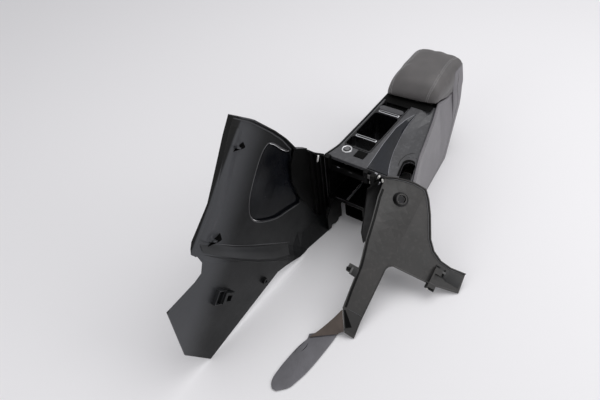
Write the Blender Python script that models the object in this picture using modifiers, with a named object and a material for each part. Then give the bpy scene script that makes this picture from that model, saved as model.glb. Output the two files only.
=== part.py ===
"""Car centre console with a padded armrest lid and two open knee panels, taken out of the car.

Metres, +Z up. X runs across the car and Y to the rear. The origin is the middle of the underside
of the tunnel foot, the bracket that the console is screwed to the car's tunnel with.
"""

import math

import bmesh
import bpy
import numpy as np
from mathutils import Matrix, Vector

# Overall places, measured to the rear from the front edge of the deck
FRONT_TO_FOOT = 0.300
DECK_HEIGHT = 0.240
REAR_Y = 0.516
RAKE_FOOT_Y = 0.401
RAKE_TOP_Z = 0.165
LID_FRONT_Y = 0.324
LID_REAR_Y = 0.518
LID_REAR_BOW = 0.012
LID_TOP_Z = DECK_HEIGHT + 0.065
SHOULDER_RISE = 0.046
CHEEK_DIP = 0.0195

# Wall thicknesses and clearances
GAP = 0.0003
SKIN_WALL = 0.0027
DECK_WALL = 0.0025
DECK_RETURN = 0.009
CARRIER_WALL = 0.003
WING_WALL = 0.0028
RUNNING_GAP = 0.0012

# Deck openings and what they hold
SOCKET_PLACE = (-0.045, 0.045)
SOCKET_RING_RADIUS = 0.0145
SOCKET_BORE_RADIUS = 0.0106
SOCKET_WALL = 0.0012
SOCKET_DEPTH = 0.044
KNOB_TRAVEL = 0.005
BLANK_SIZE = (0.024, 0.027)
BLANK_PLACE = (0.001, 0.0425)
TRAY_LEFT = -0.066
TRAY_RIGHT = 0.019
TRAY_FRONT = 0.060
TRAY_REAR = 0.300
TRAY_FLANGE = 0.0016
WELL_FRONT = 0.117
WELL_REAR = 0.231
WELL_DEPTH = 0.068
POCKET_DEPTH = 0.016
TRAY_WALL = 0.002
BAR_SIZE = (0.067, 0.0105, 0.003)
BAR_MIDDLE_X = -0.021
BAR_FRONT_Y = 0.1085
BAR_REAR_Y = 0.2385
SLOT_REAR = (0.123, 0.093)
SLOT_RADIUS = 0.0170

# Storage bin under the lid
BIN_FRONT = 0.338
BIN_REAR = 0.452
BIN_HALF_WIDTH = 0.062
BIN_FLOOR_Z = DECK_HEIGHT - 0.112
BIN_WALL = 0.002
BIN_TOP = DECK_HEIGHT - DECK_WALL + BIN_WALL

# Lid hinge
HINGE_Y = 0.488
HINGE_Z = DECK_HEIGHT + 0.012
PIN_RADIUS = 0.0025
PIN_HALF_LENGTH = 0.0485
KNUCKLE_RADIUS = 0.0062
ARM_X = 0.044
ARM_WALL = 0.003
TONGUE_HALF_WIDTH = 0.038
LID_TRAY_Z = DECK_HEIGHT + 0.005
LID_TRAY_WALL = 0.003

# Air duct to the rear outlet
DUCT_HALF_WIDTH = 0.030
DUCT_WALL = 0.0015
OUTLET_Z = 0.196
OUTLET_HALF_HEIGHT = 0.018
OUTLET_HALF_WIDTH = 0.048

# Front bracket and knee panels
BRACKET_LEFT_X = -0.0895
BRACKET_RIGHT_X = 0.0800
BRACKET_WALL = 0.003
PANEL_STEP = 0.018
LEFT_FLANGE = 0.013
RIGHT_FLANGE = 0.009
POCKET_SINK = 0.007
SCREW_HEAD_RADIUS = 0.0065
SCREW_SHANK_RADIUS = 0.0022

STATIONS = [0.0, 0.02, 0.045, 0.08, 0.12, 0.16, 0.2, 0.24, 0.28, 0.315, 0.345, 0.365, 0.385, 0.405, 0.42,
            0.432, 0.44, 0.447, 0.455, 0.463, 0.471, 0.479, 0.486, 0.5]


def clear_scene():
    for obj in list(bpy.data.objects):
        bpy.data.objects.remove(obj, do_unlink=True)


clear_scene()
console = bpy.data.collections.new("center_console")
cutters = bpy.data.collections.new("cutters")
bpy.context.scene.collection.children.link(console)
bpy.context.scene.collection.children.link(cutters)
cutters.hide_render = True


def material(name, colour, roughness, metallic=0.0):
    made = bpy.data.materials.new(name)
    made.use_nodes = True
    shader = made.node_tree.nodes["Principled BSDF"]
    shader.inputs["Base Color"].default_value = (*colour, 1.0)
    shader.inputs["Roughness"].default_value = roughness
    shader.inputs["Metallic"].default_value = metallic
    made.diffuse_color = (*colour, 1.0)
    return made


SATIN_GREY = material("satin_grey_trim", (0.075, 0.075, 0.078), 0.45)
GLOSS_BLACK = material("gloss_black_trim", (0.012, 0.012, 0.014), 0.15)
FRAME_BLACK = material("black_structural_plastic", (0.018, 0.018, 0.018), 0.55)
PANEL_GREY = material("charcoal_panel_plastic", (0.045, 0.046, 0.047), 0.5)
WARM_GREY = material("warm_grey_panel_plastic", (0.065, 0.062, 0.060), 0.55)
LEATHER = material("grey_leatherette", (0.13, 0.125, 0.125), 0.5)
CHROME = material("chrome_plate", (0.75, 0.75, 0.76), 0.12, 1.0)
STEEL = material("zinc_plated_steel", (0.55, 0.54, 0.5), 0.35, 1.0)
RUBBER = material("black_rubber", (0.02, 0.02, 0.02), 0.8)
FILM = material("leatherette_backing", (0.17, 0.145, 0.13), 0.7)


def empty(name, place, parent=None):
    made = bpy.data.objects.new(name, None)
    made.location = place
    made.parent = parent
    console.objects.link(made)
    return made


# The console's own datum is the front edge of the deck, at floor level
front = empty("deck_front_datum", (0.0, -FRONT_TO_FOOT, 0.0))
lid_axis = empty("lid_axis", (0.0, HINGE_Y, HINGE_Z), front)


def add_mesh(name, bm, finish, helper=False, parent=None, origin=None, turn=None):
    """Links the bmesh as an object. A helper is a cutter; origin moves the mesh under its parent,
    and turn is a matrix that takes it from the frame it was drawn in to the console's.
    """
    if turn is not None:
        bmesh.ops.transform(bm, verts=bm.verts, matrix=turn)
    if origin is not None:
        bmesh.ops.translate(bm, verts=bm.verts, vec=-Vector(origin))
    bmesh.ops.recalc_face_normals(bm, faces=bm.faces)
    mesh = bpy.data.meshes.new(name)
    bm.to_mesh(mesh)
    bm.free()
    made = bpy.data.objects.new(name, mesh)
    made.parent = front if parent is None else parent
    if helper:
        made.hide_render = True
        made.display_type = "WIRE"
        cutters.objects.link(made)
    else:
        mesh.materials.append(finish)
        console.objects.link(made)
    return made


def smooth_by_angle(obj, degrees=35):
    obj.data.shade_smooth()
    obj.data.set_sharp_from_angle(angle=math.radians(degrees))


def thicken(obj, wall, toward=None, even=True):
    """Gives a surface a wall on the side of the point toward, or inside where that is None."""
    solidify = obj.modifiers.new("Wall", "SOLIDIFY")
    solidify.thickness = wall
    solidify.use_even_offset = even
    solidify.offset = -1.0
    if toward is not None:
        faces = obj.data.polygons
        facing = sum(face.area * face.normal.dot(Vector(toward) - face.center) for face in faces)
        solidify.offset = math.copysign(1.0, facing)


def round_edges(obj, width, segments=2, angle=30):
    bevel = obj.modifiers.new("Round", "BEVEL")
    bevel.width = width
    bevel.segments = segments
    bevel.limit_method = "ANGLE"
    bevel.angle_limit = math.radians(angle)


def boolean(obj, other, operation):
    step = obj.modifiers.new(f"{operation.title()} {other.name}", "BOOLEAN")
    step.operation = operation
    step.solver = "EXACT"
    step.object = other


def cut(obj, *others):
    for other in others:
        boolean(obj, other, "DIFFERENCE")


def join(obj, *others):
    for other in others:
        boolean(obj, other, "UNION")


def loft(name, rows, finish, closed=False, capped=False, helper=False, **place):
    """A surface through rows of points: each row is one section, and all have as many points."""
    bm = bmesh.new()
    grid = [[bm.verts.new(point) for point in row] for row in rows]
    count = len(rows[0])
    for first, second in zip(grid, grid[1:]):
        for i in range(count if closed else count - 1):
            j = (i + 1) % count
            bm.faces.new((first[i], first[j], second[j], second[i]))
    if capped:
        bm.faces.new(grid[0])
        bm.faces.new(list(reversed(grid[-1])))
    return add_mesh(name, bm, finish, helper, **place)


def box(name, low, high, finish=None, helper=False, **place):
    bm = bmesh.new()
    bmesh.ops.create_cube(bm, size=1.0)
    size = [b - a for a, b in zip(low, high)]
    middle = [(a + b) / 2 for a, b in zip(low, high)]
    bmesh.ops.scale(bm, verts=bm.verts, vec=size)
    bmesh.ops.translate(bm, verts=bm.verts, vec=middle)
    return add_mesh(name, bm, finish, helper, **place)


def cylinder(name, radius, start, end, finish=None, segments=24, helper=False, **place):
    """A round bar from start to end."""
    a, b = Vector(start), Vector(end)
    bm = bmesh.new()
    bmesh.ops.create_cone(bm, cap_ends=True, segments=segments, radius1=radius, radius2=radius,
                          depth=(b - a).length)
    turn = (b - a).to_track_quat("Z", "Y").to_matrix().to_4x4()
    bmesh.ops.transform(bm, verts=bm.verts, matrix=Matrix.Translation((a + b) / 2) @ turn)
    return add_mesh(name, bm, finish, helper, **place)


def turned(name, profile, finish, segments=32, **place):
    """A body of revolution about Z. The profile (radius, z) runs down the outer side."""
    bm = bmesh.new()
    verts = [bm.verts.new((radius, 0.0, z)) for radius, z in profile]
    for a, b in zip(verts, verts[1:]):
        bm.edges.new((a, b))
    bmesh.ops.spin(bm, geom=bm.verts[:] + bm.edges[:], cent=(0, 0, 0), axis=(0, 0, 1),
                   angle=2 * math.pi, steps=segments, use_merge=True)
    bmesh.ops.remove_doubles(bm, verts=bm.verts, dist=1e-6)
    centre = Vector((*SOCKET_PLACE, DECK_HEIGHT))
    bmesh.ops.translate(bm, verts=bm.verts, vec=centre)
    made = add_mesh(name, bm, finish, **place)
    smooth_by_angle(made)
    return made


def arc(centre, radius, start, end, count):
    """Points on an arc in a plane, angles in degrees."""
    for i in range(count + 1):
        angle = math.radians(start + (end - start) * i / count)
        yield (centre[0] + radius * math.cos(angle), centre[1] + radius * math.sin(angle))


def rounded_rectangle(low, high, radius, count=4):
    points = []
    corners = (((high[0], high[1]), 0), ((low[0], high[1]), 90), ((low[0], low[1]), 180), ((high[0], low[1]), 270))
    for (x, y), start in corners:
        centre = (x - radius if start in (0, 270) else x + radius,
                  y - radius if start in (0, 90) else y + radius)
        points += arc(centre, radius, start, start + 90, count)
    return points


# Turns a plate drawn flat so that its outline is (y, z) and its thickness runs along X
UPRIGHT = Matrix(((0, 0, 1, 0), (1, 0, 0, 0), (0, 1, 0, 0), (0, 0, 0, 1)))
# The same with its outline (x, z) and its thickness running forwards, along -Y
ACROSS = Matrix(((1, 0, 0, 0), (0, 0, -1, 0), (0, 1, 0, 0), (0, 0, 0, 1)))


def flat_piece(name, outline, z_low, z_high, finish=None, helper=False, **place):
    """A plate with the outline (x, y) between two heights, as a filled 2D curve turned into a mesh."""
    curve = bpy.data.curves.new(name, "CURVE")
    curve.dimensions = "2D"
    curve.fill_mode = "BOTH"
    curve.extrude = (z_high - z_low) / 2
    spline = curve.splines.new("POLY")
    spline.points.add(len(outline) - 1)
    for point, (x, y) in zip(spline.points, outline):
        point.co = (x, y, 0.0, 1.0)
    spline.use_cyclic_u = True
    guide = bpy.data.objects.new(name + "_curve", curve)
    console.objects.link(guide)
    graph = bpy.context.evaluated_depsgraph_get()
    mesh = bpy.data.meshes.new_from_object(guide.evaluated_get(graph))
    bpy.data.objects.remove(guide, do_unlink=True)
    bm = bmesh.new()
    bm.from_mesh(mesh)
    bpy.data.meshes.remove(mesh)
    bmesh.ops.remove_doubles(bm, verts=bm.verts, dist=1e-6)
    bmesh.ops.dissolve_limit(bm, angle_limit=math.radians(1), verts=bm.verts, edges=bm.edges)
    bmesh.ops.translate(bm, verts=bm.verts, vec=(0, 0, (z_low + z_high) / 2))
    return add_mesh(name, bm, finish, helper, **place)


def between(value, places, sizes):
    return float(np.interp(value, places, sizes))


def eased(value):
    value = min(max(value, 0.0), 1.0)
    return value * value * (3 - 2 * value)


# Main lines of the body, each a function of the distance behind the deck's front edge
def left_edge_x(y):
    return between(y, (0.0, 0.05, 0.20, 0.32, 0.516), (-0.090, -0.079, -0.0790, -0.0805, -0.0805))


def right_edge_x(y):
    return between(y, (0.0, 0.056, 0.125, 0.19, 0.29, 0.35, 0.455, 0.516),
                   (0.165, 0.153, 0.138, 0.1235, 0.1010, 0.0855, 0.0825, 0.0810))


def right_edge_z(y):
    return DECK_HEIGHT - between(y, (0.0, 0.056, 0.125, 0.19, 0.29, 0.35), (0.033, 0.030, 0.027, 0.023, 0.011, 0.0))


def left_foot_x(y):
    return between(y, (0.0, 0.4), (-0.094, -0.090))


def right_foot_x(y):
    return between(y, (0.0, 0.233, 0.401, 0.516), (0.139, 0.114, 0.096, 0.086))


def foot_z(y):
    return RAKE_TOP_Z * max(0.0, (y - RAKE_FOOT_Y) / (REAR_Y - RAKE_FOOT_Y))


def cheek_dip(y):
    """How far the covers' top edges dip below the deck, under the lid's cheeks."""
    return CHEEK_DIP * between(y, (0.35, 0.365, 0.385, 0.405, 0.42, 0.432, 0.44, 0.447, 0.4505),
                               (0.0, 0.13, 0.51, 0.85, 1.0, 1.0, 0.85, 0.41, 0.0))


def shoulder_rise(y):
    """How far they rise above it behind the cheeks, beside the lid's narrow end."""
    return SHOULDER_RISE * between(y, (0.4505, 0.455, 0.463, 0.471, 0.479, 0.486), (0.0, 0.15, 0.48, 0.78, 0.95, 1.0))


def riser_top_x(y):
    return between(y, (0.0, 0.035, 0.114, 0.194, 0.24, 0.28), (0.041, 0.038, 0.029, 0.025, 0.032, 0.046))


def riser_foot_x(y):
    return between(y, (0.0, 0.04, 0.13, 0.21, 0.24, 0.28), (0.092, 0.081, 0.056, 0.041, 0.041, 0.0475))


def riser_foot_z(y):
    return DECK_HEIGHT - between(y, (0.0, 0.04, 0.13, 0.21, 0.24, 0.28), (0.033, 0.031, 0.027, 0.021, 0.0145, 0.0))


def behind_front(x, y):
    """The deck's front edge falls back on the handbrake side, and the sections fan out behind it."""
    line = between(x, (0.060, 0.088, 0.165), (0.0, 0.030, 0.046))
    return y + line * max(0.0, 1 - y / 0.14)


def side_rows(side):
    """Sections of a side cover: from the foot up the wall and over the rolled top edge."""
    rows = []
    corner = [(0.508, 0.0015), (REAR_Y - 0.0025, 0.006), (REAR_Y, 0.013)]
    wrap_top = DECK_HEIGHT - 0.020
    for y, inward in [(y, 0.0) for y in STATIONS] + corner:
        deck = DECK_HEIGHT if side < 0 else right_edge_z(y)
        top = deck - cheek_dip(y) + shoulder_rise(y)
        roll = between(y, (0.432, 0.447), (0.007, 0.005))
        foot = foot_z(y)
        foot_x = left_foot_x(y) if side < 0 else right_foot_x(y)
        edge_x = left_edge_x(y) if side < 0 else right_edge_x(y)
        row = []
        for t in (0.0, 0.15, 0.35, 0.55, 0.75, 0.9):
            belly = 0.004 * math.sin(math.pi * t)
            z = foot + (top - 0.004 - foot) * t
            wrap = inward * (1 - 0.85 * eased((z - wrap_top + 0.02) / 0.03))
            x = foot_x + (edge_x - foot_x) * t + side * (belly - wrap)
            row.append((x, behind_front(x, y), z))
        for share, up in ((0.0, -0.002), (0.17, 0.0012), (0.6, 0.0023), (1.0, 0.0016)):
            x = edge_x - side * (share * roll + 0.15 * inward)
            row.append((x, behind_front(x, y), top + up))
        rows.append(row)
    return rows


def make_side_covers():
    for name, side in (("left_side_cover", -1), ("right_side_cover", 1)):
        cover = loft(name, side_rows(side), LEATHER if side > 0 else PANEL_GREY)
        thicken(cover, SKIN_WALL, (0.0, 0.25, 0.12), even=False)
        smooth_by_angle(cover, 50)


make_side_covers()


def deck_rows(drop, inset, last):
    """Sections of the deck: cup side, riser and handbrake side, lowered by drop."""
    rows = []
    for y in [y for y in STATIONS if y < last] + [last]:
        left = left_edge_x(y) + inset
        right = right_edge_x(y) - inset
        top_x = riser_top_x(y)
        foot_x = riser_foot_x(y)
        foot_height = riser_foot_z(y)
        edge_z = right_edge_z(y) - 0.0005
        middle_z = (foot_height + edge_z) / 2 - 0.0015
        row = [(left, DECK_HEIGHT), (left + 0.004, DECK_HEIGHT), (-0.030, DECK_HEIGHT),
               (top_x - 0.006, DECK_HEIGHT), (top_x, DECK_HEIGHT - 0.0006),
               (foot_x, foot_height), (foot_x + 0.004, foot_height - 0.0004),
               ((foot_x + right) / 2, middle_z), (right - 0.004, edge_z), (right, edge_z + 0.0012)]
        rows.append([(x, behind_front(x, y), z - drop) for x, z in row])
    return [[(x, y, z - DECK_RETURN) for x, y, z in rows[0]]] + rows


def capsule(start, end, radius, count=8):
    """A slot outline with two round ends."""
    angle = math.degrees(math.atan2(end[1] - start[1], end[0] - start[0]))
    return [*arc(end, radius, angle - 90, angle + 90, count), *arc(start, radius, angle + 90, angle + 270, count)]


def make_deck():
    deck = loft("deck_trim", deck_rows(0.0, 0.0078, BIN_FRONT - 0.005), SATIN_GREY)
    thicken(deck, DECK_WALL, (0.03, 0.16, -0.5))
    low, high = DECK_HEIGHT - 0.06, DECK_HEIGHT + 0.02
    tray_hole = flat_piece("tray_hole", rounded_rectangle((TRAY_LEFT + 0.0012, TRAY_FRONT + 0.0012),
                                                           (TRAY_RIGHT - 0.0012, TRAY_REAR - 0.0012), 0.008),
                           low, high, helper=True)
    socket_hole = cylinder("socket_hole", SOCKET_BORE_RADIUS + SOCKET_WALL + GAP, (*SOCKET_PLACE, low),
                           (*SOCKET_PLACE, high), segments=32, helper=True)
    half_x, half_y = (size / 2 + GAP for size in BLANK_SIZE)
    x, y = BLANK_PLACE
    blank_hole = box("blank_hole", (x - half_x, y - half_y, low), (x + half_x, y + half_y, high), helper=True)
    slot_front = (SLOT_REAR[0] + 0.018, SLOT_REAR[1] - 0.075)
    slot_hole = flat_piece("slot_hole", capsule(slot_front, SLOT_REAR, SLOT_RADIUS), low, high, helper=True)
    cut(deck, tray_hole, socket_hole, blank_hole, slot_hole)
    smooth_by_angle(deck, 25)

    wall = SKIN_WALL + GAP
    rows = []
    drop = DECK_WALL + 0.0004
    for y in [DECK_WALL + 0.002] + [y for y in STATIONS if 0.0 < y < 0.479]:
        foot = foot_z(y)
        left = left_edge_x(y) + wall
        right = right_edge_x(y) - wall
        dip = drop + cheek_dip(y)
        section = [(left_foot_x(y) + wall, foot), (left, DECK_HEIGHT - dip - 0.012),
                   (left + 0.004, DECK_HEIGHT - dip), (left + 0.0125, DECK_HEIGHT - drop),
                   (riser_top_x(y) - 0.004, DECK_HEIGHT - drop),
                   (riser_foot_x(y) - 0.004, riser_foot_z(y) - drop - 0.0016),
                   (right - 0.0125, right_edge_z(y) - drop - 0.0035),
                   (right - 0.006, right_edge_z(y) - dip - 0.0035),
                   (right - 0.002, right_edge_z(y) - dip - 0.014), (right_foot_x(y) - wall, foot)]
        rows.append([(x, behind_front(x, y), z) for x, z in section])
    carrier = loft("inner_carrier", rows, FRAME_BLACK)
    thicken(carrier, CARRIER_WALL, (0.02, 0.24, 0.12), even=False)
    margin = 0.003
    deck_hole = flat_piece("carrier_deck_hole", rounded_rectangle((TRAY_LEFT - margin, 0.022),
                                                                  (TRAY_RIGHT + margin, TRAY_REAR + margin), 0.006),
                           low, high, helper=True)
    bin_hole = flat_piece("carrier_bin_hole", rounded_rectangle((-BIN_HALF_WIDTH - 0.0015, BIN_FRONT - 0.0015),
                                                                (BIN_HALF_WIDTH + 0.0015, BIN_REAR + 0.0015), 0.008),
                          low, high, helper=True)
    wide_slot = flat_piece("carrier_slot_hole", capsule(slot_front, SLOT_REAR, SLOT_RADIUS + 0.003), low, high,
                           helper=True)
    cut(carrier, deck_hole, bin_hole, wide_slot)


def make_tray():
    """Black cup insert: a flange over the deck, a shallow front pocket and a deep well."""
    flange_low = DECK_HEIGHT + GAP
    tray = flat_piece("cupholder_tray", rounded_rectangle((TRAY_LEFT, TRAY_FRONT), (TRAY_RIGHT, TRAY_REAR), 0.009),
                      flange_low, flange_low + TRAY_FLANGE, GLOSS_BLACK)
    inner = 0.0032
    walls = {"pocket": (TRAY_FRONT + inner, WELL_FRONT - 0.012, POCKET_DEPTH),
             "well": (WELL_FRONT, WELL_REAR, WELL_DEPTH),
             "rear_recess": (WELL_REAR + 0.016, TRAY_REAR - inner, POCKET_DEPTH)}
    left, right = TRAY_LEFT + inner, TRAY_RIGHT - inner
    shells, hollows = [], []
    for name, (start, end, depth) in walls.items():
        outline = rounded_rectangle((left, start), (right, end), 0.010)
        outer = rounded_rectangle((left - TRAY_WALL + 0.0006, start - TRAY_WALL + 0.0006),
                                  (right + TRAY_WALL - 0.0006, end + TRAY_WALL - 0.0006), 0.011)
        shells.append(flat_piece(f"tray_{name}_shell", outer, DECK_HEIGHT - depth - TRAY_WALL,
                                 flange_low + TRAY_FLANGE * 0.6, helper=True))
        hollows.append(flat_piece(f"tray_{name}_hollow", outline, DECK_HEIGHT - depth, DECK_HEIGHT + 0.02,
                                  helper=True))
    join(tray, *shells)
    cut(tray, *hollows)
    for name, y in (("cupholder_bar_front", BAR_FRONT_Y), ("cupholder_bar_rear", BAR_REAR_Y)):
        middle = BAR_MIDDLE_X
        length, width, height = BAR_SIZE
        low = flange_low + TRAY_FLANGE + GAP
        bar = flat_piece(name, rounded_rectangle((middle - length / 2, y - width / 2),
                                                 (middle + length / 2, y + width / 2), 0.0035),
                         low, low + height, CHROME)
        round_edges(bar, 0.0009)
    outline = rounded_rectangle((TRAY_LEFT + inner + GAP, WELL_REAR + 0.016 + GAP),
                                (TRAY_RIGHT - inner - GAP, WELL_REAR + 0.036), 0.0102)
    lip = flat_piece("tray_adapter", outline, DECK_HEIGHT - POCKET_DEPTH + GAP, DECK_HEIGHT + 0.0045, SATIN_GREY)
    round_edges(lip, 0.002, 2, 60)
    smooth_by_angle(lip)


def make_socket():
    top = GAP
    ring_height = 0.0022
    bore = SOCKET_BORE_RADIUS
    outer = bore + SOCKET_WALL
    turned("socket_ring", [(bore + 0.0004, top + 0.0006), (bore + 0.0014, top + ring_height),
                           (SOCKET_RING_RADIUS - 0.001, top + ring_height), (SOCKET_RING_RADIUS, top + 0.0012),
                           (SOCKET_RING_RADIUS, top), (bore + 0.0004, top), (bore + 0.0004, top + 0.0006)], CHROME)
    turned("socket_barrel", [(0.0, -SOCKET_DEPTH), (bore, -SOCKET_DEPTH), (bore, -0.0002), (outer, -0.0002),
                             (outer, -SOCKET_DEPTH - 0.0012), (0.0, -SOCKET_DEPTH - 0.0012)], STEEL)
    face = top + ring_height + 0.0012
    knob = bore - 0.0006
    turned("lighter_knob", [(0.0, face - 0.0012), (knob * 0.55, face - 0.001), (knob - 0.0012, face),
                            (knob, face - 0.001), (knob, -0.012), (0.0078, -0.013), (0.0078, -0.034),
                            (0.0, -0.034)], SATIN_GREY)
    half_x, half_y = (size / 2 for size in BLANK_SIZE)
    x, y = BLANK_PLACE
    blank = box("switch_blank", (x - half_x, y - half_y, DECK_HEIGHT - 0.008),
                (x + half_x, y + half_y, DECK_HEIGHT + 0.0008), GLOSS_BLACK)
    round_edges(blank, 0.0008)


def make_riser():
    """Glossy facing laid on the riser between the cup deck and the handbrake deck."""
    rows = []
    for y in [0.004, 0.02, 0.045, 0.08, 0.12, 0.16, 0.2, 0.24, 0.262]:
        top = Vector((riser_top_x(y), behind_front(riser_top_x(y), y), DECK_HEIGHT - 0.0006))
        foot = Vector((riser_foot_x(y), behind_front(riser_foot_x(y), y), riser_foot_z(y)))
        across = foot - top
        out = Vector((-across.z, 0.0, across.x)).normalized() * (GAP + 0.0018)
        rows.append([top + across * t + out for t in (0.10, 0.5, 0.90)])
    facing = loft("divider_trim", rows, GLOSS_BLACK)
    thicken(facing, 0.0012, (-0.1, 0.13, 0.0))


make_deck()
make_tray()
make_socket()
make_riser()


def make_bin():
    """Storage bin that hangs from its flange in the carrier, with a loose rubber mat in it."""
    low = DECK_HEIGHT - DECK_WALL
    rim = 0.0045
    outline = rounded_rectangle((-BIN_HALF_WIDTH, BIN_FRONT), (BIN_HALF_WIDTH, BIN_REAR), 0.008)
    bin_shell = flat_piece("storage_bin", outline, BIN_FLOOR_Z - BIN_WALL, low + BIN_WALL, FRAME_BLACK)
    flange = flat_piece("bin_flange", rounded_rectangle((-BIN_HALF_WIDTH - rim, BIN_FRONT - rim),
                                                        (BIN_HALF_WIDTH + rim, BIN_REAR + rim), 0.010),
                        low, low + BIN_WALL, helper=True)
    inner_low = (-BIN_HALF_WIDTH + BIN_WALL, BIN_FRONT + BIN_WALL)
    inner_high = (BIN_HALF_WIDTH - BIN_WALL, BIN_REAR - BIN_WALL)
    hollow = flat_piece("bin_hollow", rounded_rectangle(inner_low, inner_high, 0.006), BIN_FLOOR_Z,
                        DECK_HEIGHT + 0.06, helper=True)
    join(bin_shell, flange)
    cut(bin_shell, hollow)
    play = 0.001
    flat_piece("bin_mat", rounded_rectangle((inner_low[0] + play, inner_low[1] + play),
                                            (inner_high[0] - play, inner_high[1] - play), 0.005),
               BIN_FLOOR_Z + GAP, BIN_FLOOR_Z + GAP + 0.0015, RUBBER)


def make_foot():
    """Bracket across the body at floor level, by which the console is screwed to the tunnel."""
    plate, ear, ear_height, half = 0.003, 0.0025, 0.020, 0.022
    wall = SKIN_WALL + GAP + CARRIER_WALL + 0.0015
    left = left_foot_x(FRONT_TO_FOOT) + wall
    right = right_foot_x(FRONT_TO_FOOT + half) - wall
    outline = [(left, 0.0), (right, 0.0), (right, ear_height), (right - ear, ear_height), (right - ear, plate),
               (left + ear, plate), (left + ear, ear_height), (left, ear_height)]
    foot = flat_piece("tunnel_foot", outline, -FRONT_TO_FOOT - half, -FRONT_TO_FOOT + half, STEEL, turn=ACROSS)
    holes = [cylinder(f"foot_hole_{i}", 0.0035, (x, FRONT_TO_FOOT, -0.01), (x, FRONT_TO_FOOT, 0.01), helper=True)
             for i, x in enumerate((-0.055, 0.055))]
    cut(foot, *holes)


def make_duct():
    """Rear air duct: a flat tube along the tunnel that climbs behind the bin to the rear outlet."""
    path = [(-0.004, 0.056, 0, 0.050, 1.0), (0.0, 0.056, 0, 0.048, 0.96), (0.385, 0.056, 0, 0.048, 0.96),
            (0.415, 0.070, 30, 0.036, 0.96), (0.4365, 0.0885, 50, 0.024, 0.98), (0.4523, 0.1062, 55, 0.020, 1.0),
            (0.4764, 0.1412, 55, 0.020, 1.06), (0.4855, 0.158, 52, 0.022, 1.15), (0.4935, 0.176, 38, 0.027, 1.3),
            (0.4990, 0.1865, 22, 0.031, 1.42), (0.5040, OUTLET_Z, 0, 2 * OUTLET_HALF_HEIGHT - 0.003, 1.5)]
    rows = []
    for y, z, slope, height, widening in path:
        half = DUCT_HALF_WIDTH * widening
        up = (-math.sin(math.radians(slope)), math.cos(math.radians(slope)))
        corners = rounded_rectangle((-half, -height / 2), (half, height / 2), 0.004, 2)
        rows.append([(x, y + up[0] * h, z + up[1] * h) for x, h in corners])
    duct = loft("air_duct", rows, FRAME_BLACK, closed=True)
    thicken(duct, DUCT_WALL, (0.0, 0.2, 0.056))
    smooth_by_angle(duct)


def make_rear():
    """Rear panel between the side covers, raked below, with the outlet grille in it."""
    face_y = REAR_Y - SKIN_WALL - 0.0005
    rows = [[(-0.0720, face_y, 0.222), (0.0, face_y, 0.222), (0.0720, face_y, 0.222)],
            [(-0.0720, face_y, 0.168), (0.0, face_y, 0.168), (0.0720, face_y, 0.168)],
            [(-0.0800, 0.4785, 0.1195), (0.0, 0.4785, 0.1195), (0.0806, 0.4785, 0.1195)],
            [(-0.0830, 0.4030, 0.0100), (0.0, 0.4030, 0.0100), (0.0891, 0.4030, 0.0100)]]
    panel = loft("rear_panel", rows, PANEL_GREY)
    thicken(panel, 0.003, (0.0, 0.2, 0.15))
    low, high = OUTLET_Z - OUTLET_HALF_HEIGHT, OUTLET_Z + OUTLET_HALF_HEIGHT
    opening = box("outlet_opening", (-OUTLET_HALF_WIDTH, 0.48, low), (OUTLET_HALF_WIDTH, 0.54, high), helper=True)
    cut(panel, opening)
    edge = 0.0035
    y_low, y_high = face_y + GAP, face_y + 0.0022
    grille = box("rear_outlet_grille", (-OUTLET_HALF_WIDTH - edge, y_low, low - edge),
                 (OUTLET_HALF_WIDTH + edge, y_high, high + edge), GLOSS_BLACK)
    collar = box("outlet_collar", (-OUTLET_HALF_WIDTH + GAP, face_y - 0.0055, low + GAP),
                 (OUTLET_HALF_WIDTH - GAP, y_high - 0.0005, high - GAP), helper=True)
    wall = 0.0016
    window = box("outlet_window", (-OUTLET_HALF_WIDTH + wall, 0.48, low + wall),
                 (OUTLET_HALF_WIDTH - wall, 0.54, high - wall), helper=True)
    vanes = []
    count = 4
    for i in range(count):
        z = low + (high - low) * (i + 1) / (count + 1)
        vanes.append(box(f"outlet_vane_{i}", (-OUTLET_HALF_WIDTH + wall / 2, face_y - 0.005, z - 0.0006),
                         (OUTLET_HALF_WIDTH - wall / 2, y_high - 0.001, z + 0.0006), helper=True))
    vanes.append(box("outlet_post", (-0.001, face_y - 0.0045, low + wall / 2),
                     (0.001, y_high - 0.0012, high - wall / 2), helper=True))
    join(grille, collar)
    cut(grille, window)
    join(grille, *vanes)


def lid_half_widths(y):
    """The lid covers the side covers' edges and narrows at the rear, to drop between their shoulders."""
    places = (0.31, 0.345, 0.432, 0.44, 0.5, 0.508, 0.513, 0.518)
    left = between(y, places, (-0.0780, -0.0795, -0.0810, -0.0740, -0.0738, -0.0730, -0.0715, -0.0685))
    right = between(y, places, (0.0740, 0.0825, 0.0835, 0.0755, 0.0750, 0.0740, 0.0720, 0.0690))
    return left, right


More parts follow.
